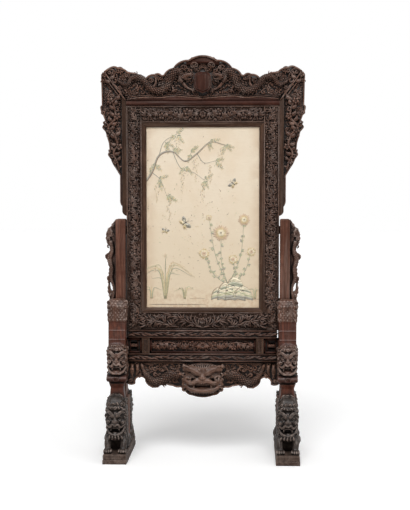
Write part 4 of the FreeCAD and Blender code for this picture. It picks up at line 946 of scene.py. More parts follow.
KEPT_NODES = {
    "post_wood": ("left_post", "right_post", "left_lower_lug", "right_lower_lug", "left_upper_lug",
                  "right_upper_lug"),
    "strip_wood": ("left_wing_strip", "right_wing_strip"),
    "moulding_wood": ("crest_moulding",),
    "shield_wood": ("crest_shield",),
    "slip_wood": ("left_slip", "right_slip", "left_panel_stile", "right_panel_stile"),
    "level_slip_wood": ("top_slip", "bottom_slip"),
    "frame_wood": ("frame_left_stile", "frame_right_stile"),
    "level_frame_wood": ("frame_top_rail", "frame_bottom_rail"),
    "plinth_wood": ("left_foot_plinth", "right_foot_plinth"),
    "softwood": ("silk_board", "back_plank_1", "back_plank_2", "back_plank_3", "lower_batten", "upper_batten",
                 "crest_tenons"),
    "iron": ("batten_nails",),
}


class FLOORSCREEN_OT_finish_joinery(bpy.types.Operator):
    """Finish the plain members and soften their edges"""

    bl_idname = "floorscreen.finish_joinery"
    bl_label = "Finish Joinery"

    def execute(self, context):
        for finish, names in KEPT_NODES.items():
            for name in names:
                node = frame["nodes"][name]
                node.data.materials.clear()
                node.data.materials.append(finish_for(finish))
                if finish != "iron":
                    weld = node.modifiers.new("weld", "WELD")
                    weld.merge_threshold = MM / 20
                    bevel = node.modifiers.new("arris", "BEVEL")
                    bevel.width = settings().carving.arris
                    bevel.segments = 2
                    bevel.limit_method = "ANGLE"
        return {"FINISHED"}


def runs(outline, keep):
    """The unbroken stretches of an outline that a test keeps."""
    first = next(i for i, point in enumerate(outline) if not keep(*point))
    found = [[]]
    for point in outline[first:] + outline[:first]:
        if keep(*point):
            found[-1].append(point)
        elif found[-1]:
            found.append([])
    return [run for run in found if len(run) > 1]


def within(outline, x, z):
    """Whether a place lies inside an outline."""
    crossed = False
    for (ax, az), (bx, bz) in zip(outline, outline[1:] + outline[:1]):
        if (az > z) != (bz > z) and x < ax + (z - az) * (bx - ax) / (bz - az):
            crossed = not crossed
    return crossed


def staggered(outline, pitch, seed, margin):
    """Places in staggered rows, a little shaken, that keep a margin inside an outline."""
    random = np.random.default_rng(seed)
    xs, zs = zip(*outline)
    for row, z in enumerate(np.arange(min(zs) + pitch / 2, max(zs), pitch * 0.87)):
        for x in np.arange(min(xs) + (row % 2) * pitch / 2, max(xs), pitch):
            px, pz = x + random.uniform(-0.25, 0.25) * pitch, z + random.uniform(-0.25, 0.25) * pitch
            turns = np.arange(0, TURN, 0.8)
            if all(within(outline, px + margin * math.cos(turn), pz + margin * math.sin(turn))
                   for turn in turns):
                yield px, pz, random


def inset(outline, margin):
    """Each point of an outline, drawn in by a margin."""
    points = np.array(outline)
    before, after = unit(points - np.roll(points, 1, axis=0)), unit(np.roll(points, -1, axis=0) - points)
    following = np.roll(points, -1, axis=0)
    hand = np.sign(np.sum(points[:, 0] * following[:, 1] - following[:, 0] * points[:, 1]))
    inward = unit((before + after)[:, ::-1] * (-hand, hand))
    return dict(zip(outline, points + inward * margin))


def rim(carving, outline, keep, radius, depth):
    """A rounded edge along the part of an outline that a test keeps."""
    drawn = inset(outline, radius)
    for run in runs(outline, keep):
        carving.sweep([(drawn[point][0], depth, drawn[point][1]) for point in run], radius, sides=8, steps=1)


# On the crest's right half, as shares across, up and out: the dragon's body, then shoulder, wrist and turn
# of its claws, then place, size and turn of the cloud heads, then the edge of the swelling band.
CREST_BODY_SHARES = ((0.2, 0.52, 0.6), (0.25, 0.66, 0.75), (0.315, 0.52, 0.7), (0.36, 0.3, 0.6),
                     (0.455, 0.22, 0.55), (0.545, 0.32, 0.6), (0.61, 0.5, 0.65), (0.7, 0.52, 0.6),
                     (0.76, 0.36, 0.55), (0.85, 0.44, 0.5), (0.865, 0.6, 0.4))
CREST_CLAW_SHARES = (((0.33, 0.52), (0.29, 0.25), -110), ((0.5, 0.28), (0.47, 0.5), 100),
                     ((0.65, 0.5), (0.66, 0.56), 40), ((0.2, 0.4), (0.105, 0.24), 200))
CREST_LOBE_SHARES = ((0.085, 0.77, 0.05, 80), (0.19, 0.71, 0.05, 60), (0.27, 0.62, 0.055, 60),
                     (0.345, 0.5, 0.05, 60), (0.44, 0.5, 0.05, 100), (0.52, 0.43, 0.045, 60),
                     (0.66, 0.5, 0.05, 110), (0.745, 0.56, 0.05, 90), (0.83, 0.66, 0.055, 80),
                     (0.915, 0.62, 0.055, 95))
CREST_SWELL_SHARES = ((0.0, 0.05), (0.16, 0.08), (0.3, 0.1), (0.42, 0.07), (0.55, 0.08), (0.68, 0.06),
                      (0.765, 0.03))


class FLOORSCREEN_OT_carve_crest(bpy.types.Operator):
    """Carve the crest with two dragons among clouds over a swelling band"""

    bl_idname = "floorscreen.carve_crest"
    bl_label = "Carve Crest"

    sunk = 22 * MM
    pitch = 20 * MM
    girth = mm(12, 17, 17, 16, 15, 13, 11, 7, 3)
    paw = 17 * MM
    edge = 5.5 * MM

    def execute(self, context):
        board = Board("crest", self.sunk)
        outline = rear_outline("crest")
        middle = board.start
        half = Carving()
        low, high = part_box("crest_shield")
        shield = (middle, (low.z + high.z) / 2, (high.z - low.z) * 0.5)
        right = [(x, z) for x, z in outline if x > middle]
        right += [(middle, board.base), (middle, board.base + board.rise)]
        right.sort(key=board.round(0.4, 0.2))
        fill(half, right, self.pitch, seed=2, ground=board.ground - MM, kinds="cloud curl leaf cloud leaf",
             avoid=[shield])
        dragon_body(half, board.line(CREST_BODY_SHARES), self.girth)
        dragon_head(half, board.at(0.178, 0.52, 0.75), board.rise * 0.165, math.radians(165), -1)
        for shoulder, wrist, angle in CREST_CLAW_SHARES:
            claw(half, board.at(*shoulder, 0.6), board.at(*wrist, 0.65), self.paw, math.radians(angle))
        for across, up, reach, tilt in CREST_LOBE_SHARES:
            cloud(half, board.at(across, up, 0.5), reach * board.reach * 0.7, math.radians(tilt))
        self.swell(half, board)
        mitre = [board.at(0.775, 0.01, 0.85), board.at(0.885, 0.33, 0.85), board.at(0.985, 0.62, 0.85)]
        half.sweep(mitre, 4 * MM)
        half.mirror()
        half.slab(outline, board.ground, board.rear, tone=PLAIN, ground=GROUND_OF_SLAB)
        self.crown(half, board)
        rim(half, outline, lambda x, z: z > board.base + 0.45 * board.rise, self.edge, board.front + 8 * MM)
        half.piece("crest_carving", "crest", finish_for("crest_wood"))
        return {"FINISHED"}

    def swell(self, half, board):
        """The smooth band along the foot, with a rolled upper edge."""
        edge = spline([board.at(across, up) for across, up in CREST_SWELL_SHARES], 4)
        points = [(spot[0], spot[2]) for spot in edge]
        foot = [(points[-1][0], board.base), (points[0][0], board.base)]
        half.slab(points + foot, board.ground - 14 * MM, board.ground + MM, tone=PLAIN)
        half.sweep(edge + FRONT * 13 * MM, mm(3, 4, 3), sides=8, steps=1)
        half.sweep(edge + FRONT * 9 * MM + UP * 9 * MM, mm(2, 3, 2), sides=6, steps=1)

    def crown(self, carving, board):
        """The plain crown over the shield."""
        turn = np.linspace(math.radians(60), math.radians(120), 13)
        radius = board.reach * 0.33
        top = board.base + board.rise * 0.975
        arch = [(board.start + radius * math.cos(angle), top - radius * (1 - math.sin(angle)))
                for angle in turn]
        foot = [(x, top - board.rise * 0.155 - abs(x - board.start) * 0.12) for x, _ in arch[::-2]]
        carving.slab(arch + foot, board.front + 9 * MM, board.ground + MM, tone=PLAIN)


# On the right wing: how far across its stem lies from foot to top, and how far up its edge the knobs sit.
WING_STEM_SHARES = (0.5, 0.5, 0.6, 0.35, 0.45, 0.68, 0.35, 0.3, 0.62, 0.4, 0.55, 0.72)
WING_KNOB_SHARES = (0.94, 0.775, 0.7, 0.628, 0.53, 0.42, 0.24, 0.07)


class FLOORSCREEN_OT_carve_wings(bpy.types.Operator):
    """Carve the wings with a blossoming branch, leaves and cloud knobs"""

    bl_idname = "floorscreen.carve_wings"
    bl_label = "Carve Wings"

    sunk = 18 * MM
    pitch = 16 * MM
    stem = mm(5, 6, 8, 7, 6, 5)
    knob = 11 * MM

    def execute(self, context):
        board = Board("right_wing", self.sunk, one_side=True)
        outline = rear_outline("right_wing")
        right = Carving()
        right.slab(outline, board.ground, board.rear, tone=PLAIN, ground=GROUND_OF_SLAB)
        levels = sorted({z for _, z in outline})
        widths = [max(x for x, high in outline if abs(high - z) < 6 * MM) - board.start for z in levels]

        def reach(z):
            return float(np.interp(z, levels, widths))

        foot = next(z for z in np.arange(levels[0], levels[-1], 4 * MM) if reach(z) > 26 * MM)
        plain = [(board.start, z, 34 * MM) for z in np.arange(levels[0], foot, 8 * MM)]
        fill(right, outline, self.pitch, seed=6, ground=board.ground - MM,
             kinds="leaf frond cloud frond curl", avoid=plain)
        random = np.random.default_rng(11)
        heights = np.linspace(foot, board.base + board.rise * 0.97, len(WING_STEM_SHARES))
        stem = [np.array((board.start + reach(z) * share, board.ground - 12 * MM, z))
                for z, share in zip(heights, WING_STEM_SHARES)]
        right.sweep(stem, self.stem, sides=8, steps=6)
        for i, spot in enumerate(evenly(spline(stem, 8), 17 * MM)[1:]):
            room = reach(spot[2])
            side = 1 if i % 2 else -1
            away = room * 0.96 - (spot[0] - board.start) if side > 0 else spot[0] - board.start
            size = min(max(away, 10 * MM), 36 * MM)
            angle = (0.35 if side > 0 else math.pi - 0.35) + side * random.uniform(-0.2, 0.9)
            heart = spot + heading(angle) * size * 0.5
            if i % 5 == 1:
                blossom(right, heart + FRONT * 4 * MM, min(18 * MM, size * 0.62), i)
            elif i % 5 == 3:
                curl(right, heart + FRONT * 3 * MM, size * 0.45, angle, side, wide=0.28)
            else:
                leaf(right, spot, spot + heading(angle) * size, size * 0.3, bend=0.2 * side)
        for up in WING_KNOB_SHARES:
            z = board.base + board.rise * up
            if z < foot:
                continue
            spot = np.array((board.start + reach(z) - self.knob, board.ground - 7 * MM, z))
            curl(right, spot, self.knob, 0.4, -1, turns=1.3, wide=STOUT)
        right.sweep([board.at(0.04, 0.80, 0.75), board.at(0.5, 0.9, 0.75), board.at(0.93, 0.985, 0.75)],
                    3 * MM)
        rim(right, outline, lambda x, z: x > board.start + 3 * MM and z < board.base + 0.97 * board.rise,
            4 * MM, board.front + 8 * MM)
        pair(right, "right_wing_carving", "right_wing", "wing_wood")
        return {"FINISHED"}


# Root and tip of each stalk of bamboo: shares out from the middle of the lower border and up from its axis.
BAMBOO_SHARES = (((0.0, -0.9), (0.5, 0.8)), ((0.4, -0.85), (0.98, 0.5)), ((0.62, 0.85), (0.98, -0.7)))


class FLOORSCREEN_OT_carve_frame(bpy.types.Operator):
    """Carve the border of the frame with branches, blossoms and bamboo between its beads"""

    bl_idname = "floorscreen.carve_frame"
    bl_label = "Carve Frame"

    bead = 7 * MM
    sunk = 6 * MM
    pitch = 17 * MM
    corner = 40 * MM

    def execute(self, context):
        low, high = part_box("frame_right_stile")
        field = (high.x - low.x) / 2 - self.bead
        middle = (low.x + high.x) / 2
        ground = low.y + self.sunk
        right = Carving()
        vine(right, (middle, ground, low.z + self.bead), (middle, ground, high.z - self.bead), field, seed=3,
             lift=self.sunk)
        for x in (low.x + self.bead / 2, high.x - self.bead / 2):
            self.add_bead(right, (x, low.y, low.z), (x, low.y, high.z))
        pair(right, "right_stile_carving", "frame_right_stile", "border_wood", stands_in=False)
        for name in ("top", "bottom"):
            node = f"frame_{name}_rail"
            low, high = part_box(node)
            inner = low.x + self.corner
            half_rise = (high.z - low.z) / 2
            level = (low.z + high.z) / 2
            carving = Carving()
            field = half_rise - self.bead
            if name == "top":
                vine(carving, (-6 * MM, ground, level), (inner, ground, level), field, seed=5, lift=self.sunk)
            else:
                self.bamboo_half(carving, ground, level, -inner, field)
            for z in (low.z + self.bead / 2, high.z - self.bead / 2):
                self.add_bead(carving, (0, low.y, z), (-inner, low.y, z))
            carving.mirror()
            blossom(carving, np.array((0, ground - 3 * MM, level)), 19 * MM, petals=6)
            carving.piece(f"{name}_rail_carving", node, finish_for("level_border_wood"), stands_in=False)
        return {"FINISHED"}

    def bamboo_half(self, carving, ground, level, reach, field):
        """Bamboo that rises from the middle of the lower border over a bed of small leaves."""
        bed = [(0, level - field), (reach, level - field), (reach, level + field), (0, level + field)]
        fill(carving, bed, self.pitch, seed=8, ground=ground, kinds="curl leaf frond")
        for seed, ends in enumerate(BAMBOO_SHARES):
            start, end = (np.array((reach * across, ground - 3 * MM, level + field * up))
                          for across, up in ends)
            bamboo(carving, start, end, level, field, self.sunk, seed)

    def add_bead(self, carving, start, end):
        """A half-round bead along the edge of a member."""
        carving.sweep([start, end], self.bead * 0.36, 1.6 * MM, sides=8, steps=1)


class FLOORSCREEN_OT_carve_rails(bpy.types.Operator):
    """Carve the two rails with a twisted row of leaves between beads"""

    bl_idname = "floorscreen.carve_rails"
    bl_label = "Carve Rails"

    sunk = 9 * MM
    bead = 8 * MM
    leaves = 13

    def execute(self, context):
        for name in ("upper_rail", "lower_rail"):
            low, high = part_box(name)
            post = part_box("right_post")[0].x
            carving = Carving()
            bead, count = self.bead, self.leaves
            middle = (low.z + high.z) / 2
            ground = low.y + self.sunk
            carving.block((-post, ground, low.z), (post, high.y, high.z), tone=PLAIN, ground=GROUND_OF_BLOCK)
            for z in (low.z + bead / 2, high.z - bead / 2):
                carving.block((-post, low.y + 3 * MM, z - bead / 2), (post, ground + MM, z + bead / 2),
                              tone=PLAIN)
                carving.sweep([(-post, low.y + 3 * MM, z), (post, low.y + 3 * MM, z)], bead * 0.46, 3 * MM,
                              steps=1)
            half = (high.z - low.z) / 2 - bead
            pitch = 2 * post / count
            share = np.linspace(-1, 1, 8 * count + 1)
            wave = half * 0.5 * np.sin(share * math.pi * count / 2)
            stem = np.column_stack((post * share, np.full_like(share, ground - 5 * MM), middle + wave))
            carving.sweep(stem, half * 0.3, 4 * MM, sides=7, steps=1)
            for i in range(count):
                x = -post + pitch * (i + 0.5)
                side = 1 if math.sin((x / post) * math.pi * count / 2) > 0 else -1
                for root, tip, rise in ((-0.42, 0.2, 0.9), (0.1, 0.62, 0.55), (-0.3, 0.42, 0.15)):
                    blade = [(x + pitch * root, ground - 4 * MM, middle + side * half * 0.1),
                             (x + pitch * (root + tip) / 2, ground - 8 * MM,
                              middle - side * half * (rise - 0.45)),
                             (x + pitch * tip, ground - 3 * MM, middle - side * half * rise)]
                    carving.sweep(blade, half * np.array((0.12, 0.34, 0.36, 0.06)), mm(2, 3.4, 3.4, 1),
                                  sides=6, steps=4)
                heart = np.array((x - pitch * 0.1, ground - 4 * MM, middle + side * half * 0.82))
                curl(carving, heart, half * 0.26, i, side)
            carving.piece(f"{name}_carving", name, finish_for("stand_wood"))
        return {"FINISHED"}


class FLOORSCREEN_OT_carve_panels(bpy.types.Operator):
    """Carve the long panel, the end panels and the dotted uprights between them"""

    bl_idname = "floorscreen.carve_panels"
    bl_label = "Carve Panels"

    border = 10 * MM
    sunk = 12 * MM

    def board(self, carving, low, high):
        """A board with a raised border round a sunk field."""
        carving.block((low.x, low.y + self.sunk, low.z), tuple(high), tone=PLAIN, ground=GROUND_OF_BLOCK)
        rear = low.y + self.sunk + MM
        for left, foot, right, top in ((low.x, low.z, high.x, low.z + self.border),
                                       (low.x, high.z - self.border, high.x, high.z),
                                       (low.x, low.z, low.x + self.border, high.z),
                                       (high.x - self.border, low.z, high.x, high.z)):
            carving.block((left, low.y, foot), (right, rear, top), tone=PLAIN)

    def execute(self, context):
        low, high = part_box("centre_panel")
        carving = Carving()
        ground = low.y + self.sunk
        level, half = (low.z + high.z) / 2, (high.z - low.z) / 2 - self.border
        vine(carving, (4 * MM, ground, level), (-high.x + self.border, ground, level), half, seed=21,
             lift=9 * MM)
        carving.mirror()
        blossom(carving, np.array((0, ground - 6 * MM, level)), 20 * MM, petals=7)
        self.board(carving, low, high)
        carving.piece("centre_panel_carving", "centre_panel", finish_for("panel_wood"))
        self.end_panels()
        self.stiles()
        return {"FINISHED"}

    def end_panels(self):
        """The end panels, with an open fret of bars and curls."""
        low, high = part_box("right_end_panel")
        carving = Carving()
        self.board(carving, low, high)
        ground = low.y + self.sunk
        middle, level = (low.x + high.x) / 2, (low.z + high.z) / 2
        half_x, half_z = (high.x - low.x) / 2 - self.border, (high.z - low.z) / 2 - self.border
        bar = 2.6 * MM
        front = ground - 8 * MM
        for side in (-1, 1):
            x = middle + side * half_x * 0.62
            carving.block((x - bar, front, level - half_z), (x + bar, ground, level + half_z), tone=PLAIN)
            for up in (-1, 1):
                z = level + up * half_z * 0.5
                carving.block((middle - half_x * 0.62, front, z - bar),
                              (middle + half_x * 0.62, ground, z + bar), tone=PLAIN)
                heart = np.array((middle + side * half_x * 0.28, ground - 5 * MM, level + up * half_z * 0.02))
                curl(carving, heart, 8 * MM, 1.0, side * up)
        blossom(carving, np.array((middle, ground - 6 * MM, level)), 9 * MM)
        pair(carving, "right_end_panel_carving", "right_end_panel", "panel_wood")

    def stiles(self):
        """Beads of seed carving on the uprights between the panels."""
        low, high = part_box("right_panel_stile")
        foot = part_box("right_end_panel")[0].z
        carving = Carving()
        face = low.y + 4 * MM
        middle = (low.x + high.x) / 2
        for i in range(3):
            for j in range(8):
                spot = (middle + (i - 1) * 6 * MM + (j % 2 - 0.5) * 2 * MM, face, foot + (13 + 7.3 * j) * MM)
                carving.ball(spot, mm(2.4, 2.6, 2.8), rings=5, sides=7)
        pair(carving, "right_panel_stile_seeds", "right_panel_stile", "bracket_wood", stands_in=False)


# On the apron's right half, as shares across, up and out: the dragon's body, then the hanging leaves at its
# end (across at the root, then the tip), then shoulder, wrist and turn of the dragon's claws.
APRON_BODY_SHARES = ((0.31, 0.56, 0.6), (0.4, 0.66, 0.7), (0.5, 0.52, 0.65), (0.6, 0.42, 0.6),
                     (0.69, 0.5, 0.6), (0.76, 0.7, 0.6), (0.79, 0.86, 0.4))
APRON_LEAF_SHARES = ((0.81, 0.79, 0.74), (0.84, 0.835, 0.64), (0.87, 0.875, 0.57), (0.905, 0.905, 0.5),
                     (0.935, 0.94, 0.52), (0.965, 0.968, 0.56))
APRON_CLAW_SHARES = (((0.45, 0.6), (0.49, 0.84), 60), ((0.6, 0.42), (0.52, 0.36), -170),
                     ((0.68, 0.5), (0.68, 0.4), -60))


class FLOORSCREEN_OT_carve_apron(bpy.types.Operator):
    """Carve the apron with a dragon on each side of the broad lion mask"""

    bl_idname = "floorscreen.carve_apron"
    bl_label = "Carve Apron"

    sunk = 15 * MM
    pitch = 21 * MM
    girth = mm(13, 19, 20, 18, 15, 10, 5)
    head = 27 * MM
    paw = 16 * MM

    def execute(self, context):
        board = Board("apron", self.sunk)
        outline = rear_outline("apron")
        half = Carving()
        top = board.base + board.rise
        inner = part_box("apron_mask")[1].x
        field = [(x, z) for x, z in outline if x > inner]
        field += [(inner, top), (inner, board.base + 0.3 * board.rise)]
        field.sort(key=board.round(0.6, 0.7))
        fill(half, field, self.pitch, seed=12, ground=board.ground - MM, kinds="cloud leaf curl leaf")
        dragon_body(half, board.line(APRON_BODY_SHARES), self.girth)
        dragon_head(half, board.at(0.3, 0.64, 0.8), self.head, math.radians(195), -1)
        for shoulder, wrist, angle in APRON_CLAW_SHARES:
            claw(half, board.at(*shoulder, 0.6), board.at(*wrist, 0.6), self.paw, math.radians(angle))
        for i, (across, tip, low) in enumerate(APRON_LEAF_SHARES):
            leaf(half, board.at(across, 0.95, 0.4), board.at(tip, low, 0.5), 8 * MM, bend=0.12 * (-1) ** i)
        for across, up in ((0.83, 0.6), (0.945, 0.45)):
            curl(half, board.at(across, up, 0.3), 12 * MM, 1.5, 1, turns=1.6, wide=STOUT)
        half.sweep([board.at(0.2, 0.94, 0.4), board.at(0.5, 0.96, 0.5), board.at(0.8, 0.94, 0.4)],
                   mm(3, 5, 3))
        for i in range(6):
            root = board.at(0.018 + 0.03 * i, 0.2, 0.5)
            leaf(half, root, board.at(0.018 + 0.034 * i, 0.035 + 0.008 * i, 0.3), 5.5 * MM)
        half.mirror()
        half.slab(outline, board.ground, board.rear, tone=PLAIN, ground=GROUND_OF_SLAB)
        rim(half, outline, lambda x, z: z < board.base + 0.6 * board.rise and abs(x) < board.reach - MM,
            4 * MM, board.front + 6 * MM)
        half.piece("apron_carving", "apron", finish_for("apron_wood"))
        self.mask()
        return {"FINISHED"}

    def mask(self):
        """The lion mask, broad and low, with its chin on the apron's edge."""
        low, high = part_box("apron_mask")
        half = (high.x - low.x) / 2
        mask = Carving()

        def at(across, up, out):
            return np.array((half * across, high.y - (out * 0.62 + 0.02) * half,
                             low.z + (high.z - low.z) * (up * 0.98 + 0.01)))

        rise = high.z - low.z
        mask.ball(at(0, 0.5, -0.2), (half * 0.8, 14 * MM, rise * 0.46), rings=9, sides=16)
        mask.ball(at(0, 0.66, 0.02), (half * 0.9, 19 * MM, rise * 0.32), rings=9, sides=16)
        mask.ball(at(0, 0.1, 0.1), (half * 0.5, 22 * MM, rise * 0.1), sides=12)
        mask.ball(at(0, 0.5, 0.06), (half * 0.74, 20 * MM, rise * 0.17), rings=8, sides=14)
        lion_face(mask, at, half * 0.84, teeth=9, rows=())
        for i in range(15):
            share = (i - 7) / 7
            lock = [at(share * 0.24, 0.7, 0.5), at(share * 0.6, 0.84, 0.44),
                    at(share * 0.92, 0.97 - 0.07 * abs(share), 0.18)]
            beard = [at(share * 0.42, 0.12, 0.46), at(share * 0.5, 0.05, 0.4), at(share * 0.56, 0.0, 0.2)]
            mask.sweep(lock, mm(2.2, 3.4, 2), sides=6, steps=4)
            mask.sweep(beard, mm(2.4, 3.2, 1.8), sides=6, steps=3)
        for side in (-1, 1):
            for i in range(4):
                whisker = [at(0.62 * side, 0.36 - 0.05 * i, 0.4 - 0.03 * i),
                           at(0.84 * side, 0.4 - 0.07 * i, 0.28), at(0.98 * side, 0.46 - 0.1 * i, 0.06)]
                mask.sweep(whisker, mm(2.2, 3.2, 1.8), sides=6, steps=4)
        mask.piece("apron_mask_carving", "apron_mask", finish_for("mask_wood"),
                   merge=settings().carving.voxel)


class FLOORSCREEN_OT_carve_lions(bpy.types.Operator):
    """Carve the four guardian lions that crouch on the feet"""

    bl_idname = "floorscreen.carve_lions"
    bl_label = "Carve Lions"

    def execute(self, context):
        body = Body("right_front_guardian_lion")
        at, half, reach, rise = body.at, body.half, body.reach, body.rise

        def face(across, up, out):
            return at(across * 0.88, 0.3 + up * 0.64, 0.68 + out * 0.44)

        lion = Carving()

        def rod(places, wide, deep=None, blunt=1.0, sides=10):
            lion.sweep([at(*place) for place in places], mm(*wide), deep and mm(*deep), blunt=blunt,
                       sides=sides)

        rod(((0, 0.0, 0.24), (0, 0.35, 0.3), (0, 0.7, 0.3), (0, 1.0, 0.26)), (46, 50, 50, 42),
            (38, 50, 54, 44), blunt=0.6, sides=14)
        rod(((0, 0.52, 0.44), (0, 0.62, 0.5), (0, 0.8, 0.5), (0, 0.93, 0.46), (0, 0.99, 0.36)),
            (42, 49, 50, 44, 28), (46, 50, 51, 46, 30), blunt=0.65, sides=18)
        lion.ball(at(0, 0.58, 0.66), (half * 0.62, reach * 0.22, rise * 0.1), rings=8, sides=14)
        rod(((0, 0.3, 0.46), (0, 0.35, 0.5), (0, 0.385, 0.5)), (36, 44, 40), (44, 56, 50), blunt=0.7,
            sides=16)
        lion_face(lion, face, half * 0.9, teeth=7, rows=(0.88, 1.0))
        lion.ball(face(0, 0.5, 0.5), mm(15, 10, 12), rings=8, sides=12)
        for side in (-1, 1):
            rod(((0.6 * side, 0.34, 0.5), (0.72 * side, 0.2, 0.7), (0.66 * side, 0.05, 0.78)), (17, 16, 15))
            for i in range(4):
                toe = at((0.36 + 0.19 * i) * side, 0.035, 0.9 + 0.02 * (i in (1, 2)))
                lion.ball(toe, mm(7, 13, 11), rings=6, sides=8)
            lion.ball(at(0.66 * side, 0.05, 0.8), mm(22, 18, 13))
            rod(((0.74 * side, 0.06, 0.1), (0.84 * side, 0.2, 0.2), (0.78 * side, 0.28, 0.4)), (16, 22, 14),
                (20, 26, 18))
            flank = [at(0, 0.36 + 0.115 * row, 0.06 + 0.14 * i + 0.07 * (row % 2)) for row in range(6)
                     for i in range(5)]
            lion.clothe(flank, np.array((float(side), 0, 0)), curls(lion, 13 * MM, None, side, turns=1.6))
        crown = [at(0.36 * (i - 2), 0.9, 0.1 + 0.2 * j) for i in range(5) for j in range(3)]
        lion.clothe(crown, UP, curls(lion, 12 * MM, None, 1, sunk=4 * MM, turns=1.6))
        for i in range(5):
            root = at((i - 2) * 0.24, 0.35, 0.93 - 0.03 * abs(i - 2))
            leaf(lion, root, root + np.array(((i - 2) * 4, 6, -26)) * MM, 6 * MM)
        corners(lion, "lion_carving", "guardian_lion", "lion_wood")
        return {"FINISHED"}


class FLOORSCREEN_OT_carve_brackets(bpy.types.Operator):
    """Carve the standing brackets: neck, ball, lion mask, plain plate and curls"""

    bl_idname = "floorscreen.carve_brackets"
    bl_label = "Carve Brackets"

    def execute(self, context):
        body = Body("right_front_spandrel")
        at, half, reach = body.at, body.half, body.reach

        def face(across, up, out):
            return at(across * 0.92, 0.235 + up * 0.31, 0.6 + out * 0.5)

        bracket = Carving()

        def upright(places, blunt=0.35, sides=16):
            for (up, wide, front), (next_up, next_wide, next_front) in zip(places, places[1:]):
                line = [at(0, up, front / 2), at(0, next_up, next_front / 2)]
                bracket.sweep(line, half * np.array((wide, next_wide)),
                              reach * np.array((front, next_front)) / 2, sides=sides, steps=1, blunt=blunt)

        upright(((0.0, 0.74, 0.66), (0.03, 0.68, 0.62), (0.13, 0.6, 0.58), (0.15, 0.7, 0.64),
                 (0.178, 0.76, 0.7)))
        bracket.sweep([at(-0.84, 0.212, 0.46), at(0, 0.212, 0.5), at(0.84, 0.212, 0.46)], 20 * MM, 44 * MM,
                      sides=14)
        bracket.clothe([at(0, 0.212, 0.5)], FRONT, curls(bracket, 16 * MM, 0.8, 1, sunk=3 * MM, turns=1.9))
        upright(((0.25, 0.7, 0.6), (0.3, 0.84, 0.64), (0.36, 0.84, 0.56), (0.4, 0.88, 0.7), (0.5, 0.9, 0.72),
                 (0.55, 0.8, 0.62)), blunt=0.6)
        bracket.ball(at(0, 0.375, 0.6), (half * 0.6, reach * 0.22, body.rise * 0.035), sides=12)
        bracket.ball(at(0, 0.275, 0.56), (half * 0.64, reach * 0.26, body.rise * 0.03), sides=12)
        lion_face(bracket, face, half * 0.94, teeth=5, rows=(0.86, 0.99))
        upright(((0.545, 0.8, 0.6), (0.895, 0.82, 0.4)), blunt=0.22, sides=20)
        for up, front in ((0.6, 0.575), (0.69, 0.525), (0.782, 0.472)):
            bracket.sweep([at(-0.78, up, front - 0.005), at(0.78, up, front - 0.005)], 2.2 * MM, 2.4 * MM,
                          sides=8, steps=1)
        upright(((0.892, 0.82, 0.4), (0.93, 0.84, 0.42), (0.97, 0.8, 0.36), (1.0, 0.64, 0.2)), blunt=0.5)
        for row in range(9):
            up = 0.797 + 0.0225 * row
            front = float(np.interp(up, (0.545, 0.895, 0.93, 0.97, 1.0), (0.6, 0.4, 0.42, 0.36, 0.2)))
            for i in range(5 - row % 2):
                curl(bracket, at(-0.64 + 0.32 * i + 0.16 * (row % 2), up, front), 9.5 * MM, 2 + i,
                     1 if i > 2 else -1, turns=1.4)
        for side in (-1, 1):
            outward = np.array((float(side), 0, 0))
            mane = [at(0, 0.3 + 0.05 * j, 0.1 + 0.15 * i + 0.07 * (j % 2)) for i in range(4)
                    for j in range(5)]
            mane += [at(0, 0.805 + 0.042 * j, 0.06 + 0.1 * i + 0.05 * (j % 2)) for i in range(4)
                     for j in range(5)]
            bracket.clothe(mane, outward, curls(bracket, 12 * MM, None, side, turns=1.6))
            bracket.clothe([at(0, 0.212, 0.4)], outward, curls(bracket, 19 * MM, 0.5, side, turns=1.9))
        for made in corners(bracket, "bracket_carving", "spandrel", "bracket_wood"):
            for kind in ("bracket_plate_wood", "ball_wood"):
                made.data.materials.append(finish_for(kind))
            self.redden(made, body)
        return {"FINISHED"}

    def redden(self, made, body):
        """Leave the neck and the plain plate in the reddish wood, and the ball in a darker one."""
        for face in made.data.polygons:
            up = (face.center.z - body.base) / body.rise
            if up < 0.172 or 0.55 < up < 0.785:
                face.material_index = 1
            elif up < 0.25:
                face.material_index = 2


# The climbing dragon's body, as shares out from the post, up, and out of the middle of its thickness.
CLIMBER_SHARES = ((0.35, 0.02, 0.5), (0.5, 0.1, 0.6), (0.3, 0.2, 0.6), (0.16, 0.3, 0.6), (0.45, 0.4, 0.6),
                  (0.4, 0.5, 0.6), (0.6, 0.6, 0.6), (0.35, 0.68, 0.6), (0.5, 0.78, 0.6))


